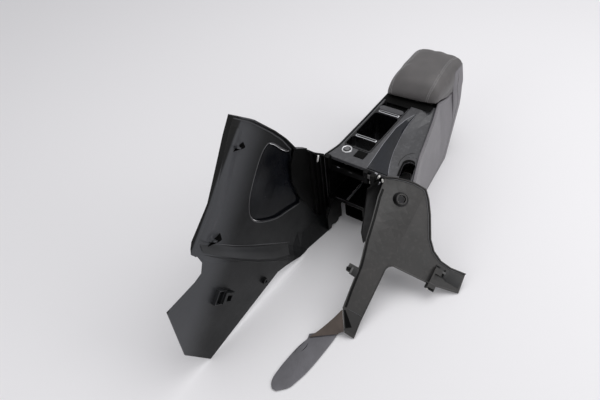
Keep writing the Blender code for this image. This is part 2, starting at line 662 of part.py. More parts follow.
def make_lid():
    """Armrest lid on its hinge: foam cushion, lower shell with knuckles, rubber stops."""
    bottom = DECK_HEIGHT + 0.0032
    roll, rear_roll, power = 0.080, 0.011, 2 / 2.4
    flat_start = LID_FRONT_Y + roll
    flat_end = LID_REAR_Y - rear_roll
    height = LID_TOP_Z - bottom
    stations = []
    for phi in (4, 14, 26, 38, 51, 64, 77, 90):
        turn = math.radians(phi)
        stations.append((flat_start - roll * math.cos(turn) ** power, height * math.sin(turn) ** power))
    stations += [(0.413, height), (0.4215, height), (0.432, height), (0.440, height), (0.447, height),
                 (0.4508, height), (0.475, height), (0.492, height - 0.001)]
    for phi in (90, 65, 42, 20):
        turn = math.radians(phi)
        stations.append((flat_end + rear_roll * math.cos(turn) ** power,
                         height - 0.0025 - 0.012 * (1 - math.sin(turn) ** power)))
    rows = []
    for y, rise in stations:
        left, right = lid_half_widths(y)
        middle, half = (left + right) / 2, (right - left) / 2
        skew = 0.08 * max(0.0, 1 - (y - LID_FRONT_Y) / roll)
        bow = LID_REAR_BOW * eased((y - 0.44) / 0.06)
        low = bottom - max(0.0, cheek_dip(y) - RUNNING_GAP)
        boxy = between(y, (0.36, 0.44), (0.52, 0.40))
        row = []
        for i in range(17):
            angle = math.pi * i / 16
            side = math.copysign(abs(math.cos(angle)) ** boxy, math.cos(angle))
            crown = abs(math.sin(angle)) ** boxy
            x = middle + half * side
            back = y + skew * x + bow * (1 - side * side)
            row.append((x, back, low + (bottom + rise - low) * crown * (1 - 0.05 * side * side)))
        rows.append(row)
    hinge = (0.0, HINGE_Y, HINGE_Z)
    on_lid = {"parent": lid_axis, "origin": hinge}
    cushion = loft("lid_cushion", rows, LEATHER, closed=True, capped=True, **on_lid)
    shell_top = LID_TRAY_Z + LID_TRAY_WALL
    below = DECK_HEIGHT - 0.06
    tray_pocket = box("cushion_tray_pocket", (-0.0730, LID_FRONT_Y + 0.008, below), (0.0745, 0.6, shell_top + GAP),
                      helper=True, **on_lid)
    hinge_pocket = box("cushion_hinge_pocket", (-0.1, BIN_REAR + 0.0045, below),
                       (0.1, 0.6, HINGE_Z + KNUCKLE_RADIUS + 0.001), helper=True, **on_lid)
    rear_pocket = box("cushion_rear_pocket", (-0.1, 0.503, below), (0.1, 0.6, HINGE_Z + 0.024), helper=True, **on_lid)
    cut(cushion, tray_pocket, hinge_pocket, rear_pocket)
    smooth_by_angle(cushion, 50)

    shell = flat_piece("lid_lower_shell", rounded_rectangle((-0.0705, LID_FRONT_Y + 0.009),
                                                            (0.0725, BIN_REAR + 0.0035), 0.008),
                       LID_TRAY_Z, shell_top, FRAME_BLACK, **on_lid)
    tongue = box("shell_tongue", (-TONGUE_HALF_WIDTH, BIN_REAR - 0.01, LID_TRAY_Z + 0.0001),
                 (TONGUE_HALF_WIDTH, HINGE_Y, shell_top - 0.0001), helper=True, **on_lid)
    knuckle = cylinder("shell_knuckle", KNUCKLE_RADIUS, (-TONGUE_HALF_WIDTH + 0.0005, HINGE_Y, HINGE_Z),
                       (TONGUE_HALF_WIDTH - 0.0005, HINGE_Y, HINGE_Z), helper=True, **on_lid)
    rim_outer = flat_piece("shell_rim_outer", rounded_rectangle((-0.056, BIN_FRONT + 0.008), (0.056, BIN_REAR - 0.008), 0.008),
                           LID_TRAY_Z - 0.0035, LID_TRAY_Z + 0.001, helper=True, **on_lid)
    rim_inner = flat_piece("shell_rim_inner", rounded_rectangle((-0.053, BIN_FRONT + 0.011), (0.053, BIN_REAR - 0.011), 0.006),
                           LID_TRAY_Z - 0.01, LID_TRAY_Z + 0.0002, helper=True, **on_lid)
    bore = cylinder("shell_bore", PIN_RADIUS + GAP, (-0.1, HINGE_Y, HINGE_Z), (0.1, HINGE_Y, HINGE_Z),
                    segments=16, helper=True, **on_lid)
    join(shell, tongue, knuckle, rim_outer)
    cut(shell, rim_inner, bore)
    for side, x in (("left", -0.064), ("right", 0.064)):
        stop = cylinder(f"lid_stop_{side}", 0.004, (x, BIN_FRONT + 0.004, BIN_TOP + GAP),
                        (x, BIN_FRONT + 0.004, LID_TRAY_Z - GAP), RUBBER, **on_lid)
        smooth_by_angle(stop)

    cylinder("hinge_pin", PIN_RADIUS, (-PIN_HALF_LENGTH, HINGE_Y, HINGE_Z), (PIN_HALF_LENGTH, HINGE_Y, HINGE_Z),
             STEEL, segments=16)
    base = DECK_HEIGHT - DECK_WALL
    bracket = box("hinge_bracket", (-ARM_X - ARM_WALL / 2, BIN_REAR + 0.0070, base),
                  (ARM_X + ARM_WALL / 2, 0.4770, base + 0.002), STEEL)
    outline = [(BIN_REAR + 0.0070, base), (0.4770, base), *arc((HINGE_Y, HINGE_Z), 0.0062, -70, 120, 8),
               (BIN_REAR + 0.0070, base + 0.006)]
    arms = [flat_piece(f"hinge_arm_{i}", outline, x - ARM_WALL / 2, x + ARM_WALL / 2, helper=True, turn=UPRIGHT)
            for i, x in enumerate((-ARM_X, ARM_X))]
    arm_bore = cylinder("arm_bore", PIN_RADIUS + GAP, (-0.1, HINGE_Y, HINGE_Z), (0.1, HINGE_Y, HINGE_Z),
                        segments=16, helper=True)
    join(bracket, *arms)
    cut(bracket, arm_bore)


make_bin()
make_foot()
make_duct()
make_rear()
make_lid()


def frame_of(origin, along, up, out):
    """Matrix of a panel's own frame, from its three axes and its origin in the console's frame."""
    return Matrix((*[(along[i], up[i], out[i], origin[i]) for i in range(3)], (0, 0, 0, 1)))


def on_line(point, a, b):
    """Whether the flat point lies on the line from a to b."""
    point, a, b = Vector(point), Vector(a), Vector(b)
    share = (point - a).dot(b - a) / (b - a).length_squared
    return -1e-4 < share < 1.0001 and (a.lerp(b, share) - point).length < 1e-5


def panel(name, outline, step, more_cuts, height, finish, frame, lips=(), lip=0.0, **place):
    """A curved sheet: the flat outline is divided by lines, and each point is lifted along the
    frame's own Z by height(x, y). The edges from outline point a to point b are turned up by lip.
    """
    bm = bmesh.new()
    bm.faces.new([bm.verts.new((x, y, 0.0)) for x, y in outline])
    for axis in (0, 1):
        places = [point[axis] for point in outline]
        lines = [min(places) + step * (i + 0.43) for i in range(int((max(places) - min(places)) / step))]
        lines = [line for line in lines if all(abs(line - extra) > step * 0.35 for extra in more_cuts[axis])]
        for line in [*lines, *more_cuts[axis]]:
            spot, normal = [0.0, 0.0, 0.0], [0.0, 0.0, 0.0]
            spot[axis], normal[axis] = line, 1.0
            bmesh.ops.bisect_plane(bm, geom=bm.verts[:] + bm.edges[:] + bm.faces[:], dist=1e-6,
                                   plane_co=spot, plane_no=normal)
    turned_up = []
    for edge in bm.edges:
        if len(edge.link_faces) != 1:
            continue
        middle = (edge.verts[0].co + edge.verts[1].co) / 2
        if any(on_line(middle.xy, outline[a], outline[b]) for a, b in lips):
            turned_up.append(edge)
    bmesh.ops.triangulate(bm, faces=bm.faces)
    for vert in bm.verts:
        vert.co.z = height(vert.co.x, vert.co.y)
    if turned_up:
        raised = bmesh.ops.extrude_edge_only(bm, edges=turned_up)["geom"]
        bmesh.ops.translate(bm, verts=[item for item in raised if isinstance(item, bmesh.types.BMVert)],
                            vec=(0, 0, lip))
    made = add_mesh(name, bm, finish, turn=frame, **place)
    smooth_by_angle(made, 30)
    return made


DIAGONAL = math.sqrt(0.5)
LEFT_FRAME = frame_of((-0.090, 0.0, DECK_HEIGHT), (0, -DIAGONAL, DIAGONAL), (0, DIAGONAL, DIAGONAL), (-1, 0, 0))
RIGHT_FRAME = frame_of((0.112, -0.0092, DECK_HEIGHT + 0.0023), (0.809, 0.264, -0.525), (0.0, 0.893, 0.449),
                       (0.588, -0.363, 0.7226))

LEFT_OUTLINE = [(0.0009, -0.0009), (0.052, -0.005), (0.121, -0.003), (0.169, -0.012), (0.225, 0.004), (0.278, 0.013),
                (0.364, 0.021), (0.434, 0.015), (0.433, -0.032), (0.421, -0.184), (0.440, -0.298), (0.420, -0.301),
                (0.403, -0.314), (0.394, -0.340), (0.406, -0.361), (0.469, -0.429), (0.352, -0.548),
                (0.238, -0.577), (0.057, -0.346), (-0.029, -0.299), (-0.063, -0.276), (-0.129, -0.211),
                (-0.169, -0.171)]
POCKET_OUTLINE = [(0.172, -0.020), (0.196, -0.025), (0.262, -0.014), (0.278, -0.026), (0.288, -0.057),
                  (0.285, -0.136), (0.275, -0.172), (0.256, -0.200), (0.229, -0.212), (0.195, -0.212),
                  (0.133, -0.200), (0.086, -0.172), (0.027, -0.142), (0.112, -0.098)]
RIGHT_OUTLINE = [(0.006, 0.014), (0.026, 0.023), (0.052, 0.028), (0.077, 0.030), (0.105, 0.027), (0.124, 0.007),
                 (0.146, -0.026), (0.177, -0.084), (0.199, -0.107), (0.228, -0.121), (0.261, -0.124),
                 (0.306, -0.118), (0.311, -0.171), (0.237, -0.187), (0.120, -0.194), (0.111, -0.201),
                 (0.107, -0.210), (0.109, -0.357), (0.113, -0.403), (0.085, -0.401), (0.051, -0.348),
                 (0.046, -0.300), (0.040, -0.232), (0.025, -0.167), (0.018, -0.112), (0.008, -0.046)]


def softened(outline):
    """The closed outline with each corner cut back to a quarter of both its sides."""
    points = []
    for a, b in zip(outline, outline[1:] + outline[:1]):
        for share in (0.25, 0.75):
            points.append(tuple(a[axis] + (b[axis] - a[axis]) * share for axis in (0, 1)))
    return points


def left_height(r, s):
    """How far the left panel stands out beyond the plane of the console's left side."""
    y = (s - r) * DIAGONAL
    z = DECK_HEIGHT + (r + s) * DIAGONAL
    inward = PANEL_STEP * eased((-0.147 - (y + z)) / 0.056)
    inward -= 0.026 * (max(0.0, z - 0.26) / 0.32) ** 1.5
    tuck = 0.020 + 0.012 * min(1.0, max(0.0, (y + 0.15) / 0.09))
    tuck *= min(1.0, max(0.0, (y + 0.23) / 0.06)) * min(1.0, max(0.0, -y / 0.05))
    return -inward - tuck * max(0.0, 1 - z / 0.045)


def right_height(u, v):
    """The right panel is hollowed towards the deck's front edge, which it hangs from."""
    across = max(0.0, 1 - u / 0.110) ** 1.3
    return -0.049 * across * min(max(0.0, 1 + v / 0.2), 1.15) ** 1.2


def local_box(name, low, high, frame, **place):
    return box(name, low, high, helper=True, turn=frame, **place)


def make_left_wing():
    """Left knee panel, seen from its back: sill ledge, sunk pocket, clip houses and fins."""
    last = len(LEFT_OUTLINE) - 1
    lips = [(i, i + 1) for i in range(2, 10)]
    wing = panel("left_wing", LEFT_OUTLINE, 0.030, ([], [-0.3137, -0.3005, -0.2871, -0.2737]), left_height, PANEL_GREY,
                 LEFT_FRAME, lips, -LEFT_FLANGE)
    thicken(wing, WING_WALL, (-0.6, -0.2, 0.25), even=False)

    def spot(r, s):
        return (r, s, left_height(r, s))

    pocket = softened(POCKET_OUTLINE)
    hollow = flat_piece("left_pocket_hole", pocket, -0.02, 0.03, helper=True, turn=LEFT_FRAME)
    cut(wing, hollow)
    middle = [sum(point[axis] for point in pocket) / len(pocket) for axis in (0, 1)]
    shrink = 0.988
    liner_outline = [tuple(middle[axis] + (point[axis] - middle[axis]) * shrink for axis in (0, 1))
                     for point in pocket]
    rims = [(i, (i + 1) % len(liner_outline)) for i in range(len(liner_outline))]
    liner = panel("left_wing_pocket", liner_outline, 0.040, ([], []), lambda r, s: left_height(r, s) + POCKET_SINK,
                  GLOSS_BLACK, LEFT_FRAME, rims, -POCKET_SINK)
    thicken(liner, 0.0016, (0.6, -0.2, 0.25), even=False)

    x, y, z = spot(0.276, -0.401)
    house = local_box("clip_house", (x - 0.017, y - 0.015, z - 0.017), (x + 0.019, y + 0.015, z + 0.001), LEFT_FRAME)
    mouth = local_box("clip_house_mouth", (x - 0.008, y - 0.008, z - 0.03), (x + 0.010, y + 0.008, z - 0.004), LEFT_FRAME)
    hood = local_box("clip_hood", (x + 0.012, y - 0.019, z - 0.011), (x + 0.042, y + 0.019, z + 0.001), LEFT_FRAME)
    hood_mouth = local_box("clip_hood_mouth", (x + 0.021, y - 0.0165, z - 0.03), (x + 0.0395, y + 0.0165, z - 0.002),
                           LEFT_FRAME)
    join(wing, house, hood)
    cut(wing, mouth, hood_mouth)
    x, y, z = spot(0.115, -0.368)
    boss = cylinder("left_boss", 0.009, (x, y, z - 0.008), (x, y, z + 0.001), helper=True, turn=LEFT_FRAME)
    bore = cylinder("left_boss_hole", 0.0045, (x, y, z - 0.02), (x, y, z + 0.02), helper=True, turn=LEFT_FRAME)
    join(wing, boss)
    cut(wing, bore)
    fins = []
    for i, (r, s) in enumerate(((0.381, -0.047), (0.367, -0.265))):
        x, y, z = spot(r, s)
        fins.append(local_box(f"left_fin_{i}", (x - 0.014, y - 0.002, z - 0.012), (x + 0.014, y + 0.002, z + 0.001),
                              LEFT_FRAME))
    join(wing, *fins)
    return last


def make_right_wing():
    """Right knee panel: upper boss, clip bracket on the tail, clip tab on the lower finger."""
    lips = [(i, i + 1) for i in range(0, 11)]
    wing = panel("right_wing", RIGHT_OUTLINE, 0.026, ([0.110], []), right_height, WARM_GREY, RIGHT_FRAME, lips, 0.004)
    thicken(wing, WING_WALL, (-0.2, 0.3, -1.5), even=False)
    x, y = 0.062, -0.026
    z = right_height(x, y)
    boss = cylinder("right_boss", 0.0150, (x, y, z - 0.001), (x, y, z + 0.010), helper=True, turn=RIGHT_FRAME)
    bore = cylinder("right_boss_hole", 0.0115, (x, y, z - 0.02), (x, y, z + 0.02), helper=True, turn=RIGHT_FRAME)
    join(wing, boss)
    cut(wing, bore)
    clip = local_box("right_clip_bracket", (0.222, -0.196, -0.001), (0.243, -0.140, 0.010), RIGHT_FRAME)
    gap = local_box("right_clip_mouth", (0.227, -0.172, 0.003), (0.250, -0.156, 0.012), RIGHT_FRAME)
    join(wing, clip)
    cut(wing, gap)
    z = right_height(0.040, -0.25)
    tab = local_box("right_tab", (0.016, -0.262, z - 0.006), (0.048, -0.240, z - 0.0015), RIGHT_FRAME)
    join(wing, tab)


def make_flap():
    """Loose tail of the right panel's skin: it hangs from the finger, folds over and lies on the floor."""
    def under(u, v):
        place = RIGHT_FRAME @ Vector((u, v, right_height(u, v) - WING_WALL - 0.0004))
        return tuple(place)

    edge = [(0.0527, -0.3507), (0.061, -0.3637), (0.0705, -0.3782), (0.080, -0.393)]
    rows = [[under(u + 0.005, v + 0.0032) for u, v in edge], [under(u - 0.002, v - 0.0013) for u, v in edge]]
    loose = [[(133, -331, 38), (141, -330, 33), (149, -332, 24), (160, -337, 12)],
             [(116, -357, 20), (127, -350, 16), (140, -345, 11), (159, -342, 6)],
             [(101, -390, 2.2), (118, -377, 2.2), (137, -364, 2.2), (160, -349, 2.2)],
             [(95, -430, 2.2), (115, -418, 2.2), (138, -407, 2.2), (162, -396, 2.2)],
             [(88, -470, 2.2), (109, -466, 2.2), (131, -463, 2.2), (155, -461, 2.2)],
             [(84, -505, 2.2), (106, -506, 2.2), (128, -506, 2.2), (153, -503, 2.2)],
             [(92, -528, 2.2), (108, -532, 2.2), (126, -534, 2.2), (144, -529, 2.2)],
             [(102, -540, 2.2), (112, -545, 2.2), (124, -545.5, 2.2), (132, -543, 2.2)]]
    rows += [[tuple(value / 1000 for value in point) for point in row] for row in loose]
    flap = loft("right_wing_flap", rows, FILM)
    thicken(flap, 0.0016, (0.12, -0.4, -1.0), even=False)
    smooth_by_angle(flap, 60)


def make_front_bracket():
    """Black frame in the open front: two ribbed walls, a rail under the deck's edge, clip towers."""
    left = BRACKET_LEFT_X
    outline = [(-0.0008, 0.052), (-0.0008, 0.236), (-0.041, 0.272), (-0.088, 0.322), (-0.130, 0.352), (-0.150, 0.314),
               (-0.155, 0.258), (-0.128, 0.168), (-0.096, 0.118), (-0.064, 0.052)]
    bracket = flat_piece("front_bracket", outline, left, left + 0.0034, FRAME_BLACK, turn=UPRIGHT)
    right_outline = [(0.0195, 0.060), (0.0195, 0.196), (-0.002, 0.216), (-0.057, 0.231), (-0.080, 0.150),
                     (-0.096, 0.099), (-0.088, 0.051), (-0.030, 0.051)]
    right = flat_piece("bracket_right_wall", right_outline, BRACKET_RIGHT_X, BRACKET_RIGHT_X + BRACKET_WALL,
                       helper=True, turn=UPRIGHT)
    rail = box("bracket_rail", (left + 0.001, -0.0065, 0.196), (BRACKET_RIGHT_X + 0.001, -0.0015, 0.214), helper=True)
    sill = box("bracket_sill", (left + 0.001, -0.0060, 0.0813), (BRACKET_RIGHT_X + 0.001, -0.0020, 0.0930), helper=True)
    foot_wall = [(-0.060, 0.006), (-0.052, 0.001), (-0.047, 0.001), (-0.041, 0.010), (-0.033, 0.007), (-0.027, 0.001),
                 (-0.012, 0.001), (-0.004, 0.009), (0.010, 0.004), (0.010, 0.092), (-0.034, 0.092), (-0.060, 0.060)]
    foot = flat_piece("bracket_foot_wall", foot_wall, -0.0575, -0.0548, helper=True, turn=UPRIGHT)
    shelf = box("bracket_shelf", (-0.0795, -0.0040, 0.0835), (-0.0330, 0.1500, 0.0860), helper=True)
    ribs = []
    for i, (y, low, high) in enumerate(((-0.018, 0.054, 0.249), (-0.036, 0.054, 0.265), (-0.056, 0.054, 0.285),
                                        (-0.078, 0.075, 0.308))):
        ribs.append(box(f"bracket_rib_{i}", (left + 0.002, y - 0.0013, low), (left + 0.012, y + 0.0013, high),
                        helper=True))
    for i, y in enumerate((-0.020, -0.045, -0.068)):
        ribs.append(box(f"bracket_right_rib_{i}", (BRACKET_RIGHT_X - 0.007, y - 0.0012, 0.060),
                        (BRACKET_RIGHT_X + 0.001, y + 0.0012, 0.205 if y > -0.06 else 0.165), helper=True))
    towers = []
    for i, (x, low, high) in enumerate(((-0.072, 0.210, 0.247), (0.050, 0.205, 0.243), (0.071, 0.200, 0.238))):
        towers.append(box(f"bracket_tower_{i}", (x - 0.006, -0.0175, low), (x + 0.006, -0.0025, high), helper=True))
    join(bracket, rail, sill, foot, shelf, right, *ribs, *towers)
    plate = flat_piece("retainer_plate", rounded_rectangle((0.020, -0.0155), (0.040, -0.0030), 0.002, 2),
                       0.2143, 0.2158, STEEL)
    return plate


make_left_wing()
make_right_wing()
make_flap()
make_front_bracket()
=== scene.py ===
import math

import bmesh
import bpy
import numpy as np
from mathutils import Matrix, Vector
from mathutils.bvhtree import BVHTree


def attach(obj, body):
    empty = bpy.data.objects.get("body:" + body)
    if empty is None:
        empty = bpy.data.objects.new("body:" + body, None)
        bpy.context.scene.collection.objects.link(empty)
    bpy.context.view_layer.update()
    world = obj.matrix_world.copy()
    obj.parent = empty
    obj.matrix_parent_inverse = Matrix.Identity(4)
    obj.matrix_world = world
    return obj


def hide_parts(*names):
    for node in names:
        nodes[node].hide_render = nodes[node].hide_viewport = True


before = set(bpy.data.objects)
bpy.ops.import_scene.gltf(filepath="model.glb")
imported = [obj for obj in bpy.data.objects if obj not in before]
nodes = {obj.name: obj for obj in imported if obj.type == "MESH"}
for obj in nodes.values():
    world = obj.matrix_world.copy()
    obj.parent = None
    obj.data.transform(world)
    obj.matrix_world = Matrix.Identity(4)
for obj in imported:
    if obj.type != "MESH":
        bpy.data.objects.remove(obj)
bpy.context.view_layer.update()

print("frame loaded:", len(nodes), "solids")


# Small tools

deckStartMm = 300.0     # how far the deck's front edge lies ahead of the frame's origin
straightDown = Vector((0, 0, -1))


def hexLinear(code):
    channels = [int(code[i:i + 2], 16) / 255 for i in (0, 2, 4)]
    return tuple(c / 12.92 if c <= 0.04045 else ((c + 0.055) / 1.055) ** 2.4 for c in channels) + (1.0,)


def mm(x, y, z):
    # A point in the console's own drawing: millimetres, with y counted back from the deck's front edge
    return Vector((x, y - deckStartMm, z)) / 1000


def drawn(points):
    return [mm(*point) for point in points]


def between(value, places, sizes):
    return float(np.interp(value, places, sizes))


def eased(value):
    value = min(max(value, 0.0), 1.0)
    return value * value * (3 - 2 * value)


def linked(name, data):
    made = bpy.data.objects.new(name, data)
    bpy.context.scene.collection.objects.link(made)
    return made


def addPiece(name, data, finish, body="console", smooth=True):
    piece = linked(name, data)
    data.materials.clear()
    data.materials.append(finish)
    if smooth:
        data.shade_smooth()
    if body:
        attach(piece, body)
    return piece


def loftMesh(name, rows, closed=False, capped=False, weld=False):
    points = [tuple(point) for row in rows for point in row]
    count = len(rows[0])
    faces = []
    for r in range(len(rows) - 1):
        for i in range(count if closed else count - 1):
            j = (i + 1) % count
            faces.append((r * count + i, r * count + j, (r + 1) * count + j, (r + 1) * count + i))
    if capped:
        faces.append(tuple(range(count)))
        faces.append(tuple(range(len(points) - 1, len(points) - count - 1, -1)))
    mesh = bpy.data.meshes.new(name)
    mesh.from_pydata(points, [], faces)
    bm = bmesh.new()
    bm.from_mesh(mesh)
    if weld:
        bmesh.ops.remove_doubles(bm, verts=bm.verts, dist=1e-6)
    bmesh.ops.recalc_face_normals(bm, faces=bm.faces)
    bm.to_mesh(mesh)
    bm.free()
    return mesh


def loftPiece(name, rows, finish):
    return addPiece(name, loftMesh(name, rows), finish)


def blockMesh(name, low, high, roundMm=0.0, turn=None, placing=None):
    # A block between two corners: its edges are rounded, it is turned about its middle, then placed
    bm = bmesh.new()
    bmesh.ops.create_cube(bm, size=1.0)
    bmesh.ops.scale(bm, verts=bm.verts, vec=high - low)
    if roundMm:
        bmesh.ops.bevel(bm, geom=bm.edges[:], offset=roundMm / 1000, segments=2, profile=0.7, affect="EDGES")
    if turn:
        bmesh.ops.transform(bm, verts=bm.verts, matrix=turn)
    bmesh.ops.translate(bm, verts=bm.verts, vec=(low + high) / 2)
    if placing:
        bmesh.ops.transform(bm, verts=bm.verts, matrix=placing)
    mesh = bpy.data.meshes.new(name)
    bm.to_mesh(mesh)
    bm.free()
    return mesh


def edged(mesh, degrees):
    # Smooth shading, with an edge where two faces meet at more than so many degrees
    mesh.shade_smooth()
    mesh.set_sharp_from_angle(angle=math.radians(degrees))


def roundedBox(name, low, high, roundMm, finish, turn=None):
    # A small moulded block with rounded edges, between two corners in the console's drawing
    mesh = blockMesh(name, mm(*low), mm(*high), roundMm, turn)
    addPiece(name, mesh, finish)
    edged(mesh, 40)


def walled(piece, thicknessMm, offset=-1.0):
    # Gives an open skin its wall; the offset says on which side of the skin it lies
    wall = piece.modifiers.new("Wall", "SOLIDIFY")
    wall.thickness = thicknessMm / 1000
    wall.offset = offset


def refined(piece):
    finer = piece.modifiers.new("Finer", "SUBSURF")
    finer.levels = finer.render_levels = 1


def remeshed(piece, voxelMm):
    skin = piece.modifiers.new("Skin", "REMESH")
    skin.mode = "VOXEL"
    skin.voxel_size = voxelMm / 1000
    applied(piece)


def applied(piece):
    # The piece's mesh with its modifiers applied
    graph = bpy.context.evaluated_depsgraph_get()
    made = bpy.data.meshes.new_from_object(piece.evaluated_get(graph))
    old = piece.data
    piece.modifiers.clear()
    piece.data = made
    bpy.data.meshes.remove(old)
    return made


def skinOf(piece):
    # A search tree over the piece's faces, to lay seams and trims on them
    points = [piece.matrix_world @ vert.co for vert in piece.data.vertices]
    return BVHTree.FromPolygons(points, [tuple(face.vertices) for face in piece.data.polygons])


def laid(skin, starts, toward, lift=0.0):
    # Where rays from the start points, all in one direction or each in its own, meet the skin
    found = []
    for start, way in zip(starts, toward if isinstance(toward, list) else [toward] * len(starts)):
        place, normal, _, _ = skin.ray_cast(start, way.normalized())
        if place is not None:
            normal = -normal if normal.dot(way) > 0 else normal
            found.append((place + normal * lift, normal))
    return found


def placeOn(skin, start, way, liftMm):
    found = laid(skin, [start], way, liftMm / 1000)
    return found[0][0] if found else None


def dropped(skin, pairs, lift=0.0):
    # The places straight below points given as (x, y) in the console's drawing
    return [place for place, _ in laid(skin, [mm(x, y, 300) for x, y in pairs], straightDown, lift)]


def evenly(points, stepMm=None, count=None):
    # The polyline again with evenly spaced points: so many of them, or one at about each step
    lengths = [0.0]
    for a, b in zip(points, points[1:]):
        lengths.append(lengths[-1] + (b - a).length)
    count = count or max(2, int(lengths[-1] * 1000 / stepMm) + 1)
    marks = np.linspace(0, lengths[-1], count)
    return [Vector(tuple(float(np.interp(mark, lengths, [p[i] for p in points])) for i in range(3)))
            for mark in marks]


def flatLine(pairs, stepMm):
    # A line of a panel's flat drawing, in metres
    return evenly([Vector((u / 1000, v / 1000, 0)) for u, v in pairs], stepMm)


def lineOn(face, pairs, stepMm, lift):
    # The same line laid on the panel's face
    places = [face(point.x * 1000, point.y * 1000, lift) for point in flatLine(pairs, stepMm)]
    return [place for place in places if place is not None]


def ribbonOn(face, name, pairs, stepMm, side, offsets, finish):
    # A strip along a line of the panel's drawing; offsets are (distance inwards, rise) across it
    flat = flatLine(pairs, stepMm)
    rows = []
    for i, point in enumerate(flat):
        ahead = (flat[min(i + 1, len(flat) - 1)] - flat[max(i - 1, 0)]).normalized()
        inward = Vector((ahead.y, -ahead.x, 0)) * side
        spots = [(point * 1000 + inward * distance, rise) for distance, rise in offsets]
        row = [face(spot.x, spot.y, rise) for spot, rise in spots]
        if all(place is not None for place in row):
            rows.append(row)
    loftPiece(name, rows, finish)


def tube(name, points, radiusMm, finish, closed=False, thin=None):
    # A round bead along the points: welts, rims and gap lines; thin is the share over which an end tapers
    curve = bpy.data.curves.new(name, "CURVE")
    curve.dimensions = "3D"
    curve.bevel_depth = radiusMm / 1000
    curve.bevel_resolution = 2
    curve.use_fill_caps = True
    spline = curve.splines.new("POLY")
    spline.points.add(len(points) - 1)
    for i, (target, point) in enumerate(zip(spline.points, points)):
        target.co = (*point, 1.0)
        if thin:
            share = i / (len(points) - 1)
            target.radius = between(share, (0, thin, 1 - thin, 1), (0.25, 1, 1, 0.25))
    spline.use_cyclic_u = closed
    holder = linked(name + "Path", curve)
    graph = bpy.context.evaluated_depsgraph_get()
    mesh = bpy.data.meshes.new_from_object(holder.evaluated_get(graph))
    bpy.data.objects.remove(holder)
    addPiece(name, mesh, finish)


def stitchRow(name, spots, pitchMm, lengthMm, thickMm, body="console"):
    # Thread laid in short spindles: each stitch rises from its needle hole and dives into the next
    rings = ((0.0, 0.30, -0.5), (0.18, 0.85, 0.1), (0.5, 1.0, 0.35), (0.82, 0.85, 0.1), (1.0, 0.30, -0.5))
    around = 6
    points, faces = [], []
    path = evenly([place for place, _ in spots], pitchMm)
    for here, there in zip(path, path[1:]):
        along = (there - here).normalized()
        normal = min(spots, key=lambda spot: (spot[0] - here).length)[1]
        up = (normal - along * normal.dot(along)).normalized()
        side = along.cross(up)
        start = (here + there) / 2 - along * lengthMm / 2000
        first = len(points)
        for share, thick, rise in rings:
            centre = start + along * (share * lengthMm / 1000) + up * (rise * thickMm / 2000)
            for k in range(around):
                angle = 2 * math.pi * k / around
                out = side * math.cos(angle) + up * math.sin(angle)
                points.append(centre + out * thick * thickMm / 2000)
        for ring in range(len(rings) - 1):
            for k in range(around):
                a, b = first + ring * around + k, first + ring * around + (k + 1) % around
                faces.append((a, b, b + around, a + around))
        faces.append(tuple(first + k for k in reversed(range(around))))
        faces.append(tuple(first + (len(rings) - 1) * around + k for k in range(around)))
    mesh = bpy.data.meshes.new(name)
    mesh.from_pydata([tuple(point) for point in points], [], faces)
    addPiece(name, mesh, seamThread, body)


def turnedDisc(name, profile, centre, finish, body="console", segments=48):
    # A body of revolution about the vertical at the centre; the profile is (radius, height) in millimetres
    rows = []
    for k in range(segments):
        angle = 2 * math.pi * k / segments
        rows.append([mm(centre[0] + r * math.cos(angle), centre[1] + r * math.sin(angle), centre[2] + h)
                     for r, h in profile])
    mesh = loftMesh(name, rows + rows[:1], weld=True)
    piece = addPiece(name, mesh, finish, body)
    edged(mesh, 40)
    return piece


# Materials

def newMaterial(name, roughness, metallic=0.0, **sockets):
    made = bpy.data.materials.new(name)
    made.use_nodes = True
    tree = made.node_tree
    shader = tree.nodes["Principled BSDF"]
    shader.inputs["Roughness"].default_value = roughness
    shader.inputs["Metallic"].default_value = metallic
    for key, value in sockets.items():
        shader.inputs[key.replace("_", " ")].default_value = value
    place = addNode(tree, "ShaderNodeTexCoord").outputs["Object"]
    return made, tree, shader, place


def addNode(tree, kind, settings=None, links=None):
    node = tree.nodes.new(kind)
    for key, value in (settings or {}).items():
        if isinstance(key, int) or key in node.inputs:
            node.inputs[key].default_value = value
        else:
            setattr(node, key, value)
    for key, source in (links or {}).items():
        tree.links.new(source, node.inputs[key])
    return node


def noise(tree, place, sizeMm, detail, **more):
    settings = {"Scale": 1000 / sizeMm, "Detail": detail, **more}
    return addNode(tree, "ShaderNodeTexNoise", settings, {"Vector": place}).outputs["Fac"]


def ranged(tree, value, low, high, outLow=0.0, outHigh=1.0, **more):
    settings = {"From Min": low, "From Max": high, "To Min": outLow, "To Max": outHigh, **more}
    return addNode(tree, "ShaderNodeMapRange", settings, {"Value": value}).outputs["Result"]


def clouded(tree, place, sizeMm, low, high, outLow=0.0, outHigh=1.0, detail=3.0):
    return ranged(tree, noise(tree, place, sizeMm, detail), low, high, outLow, outHigh)


def mixed(tree, share, first, second):
    # First and second are a hex colour or a socket
    node = addNode(tree, "ShaderNodeMix", {"data_type": "RGBA"}, {0: share})
    for index, value in ((6, first), (7, second)):
        if isinstance(value, str):
            node.inputs[index].default_value = hexLinear(value)
        else:
            tree.links.new(value, node.inputs[index])
    return node.outputs[2]


def bumped(tree, shader, height, strength, depthMm, links=None):
    # The shader's normal from a height; returned too, to lay a second relief over it
    bump = addNode(tree, "ShaderNodeBump", {"Strength": strength, "Distance": depthMm / 1000},
                   {"Height": height, **(links or {})})
    tree.links.new(bump.outputs["Normal"], shader.inputs["Normal"])
    return bump.outputs["Normal"]


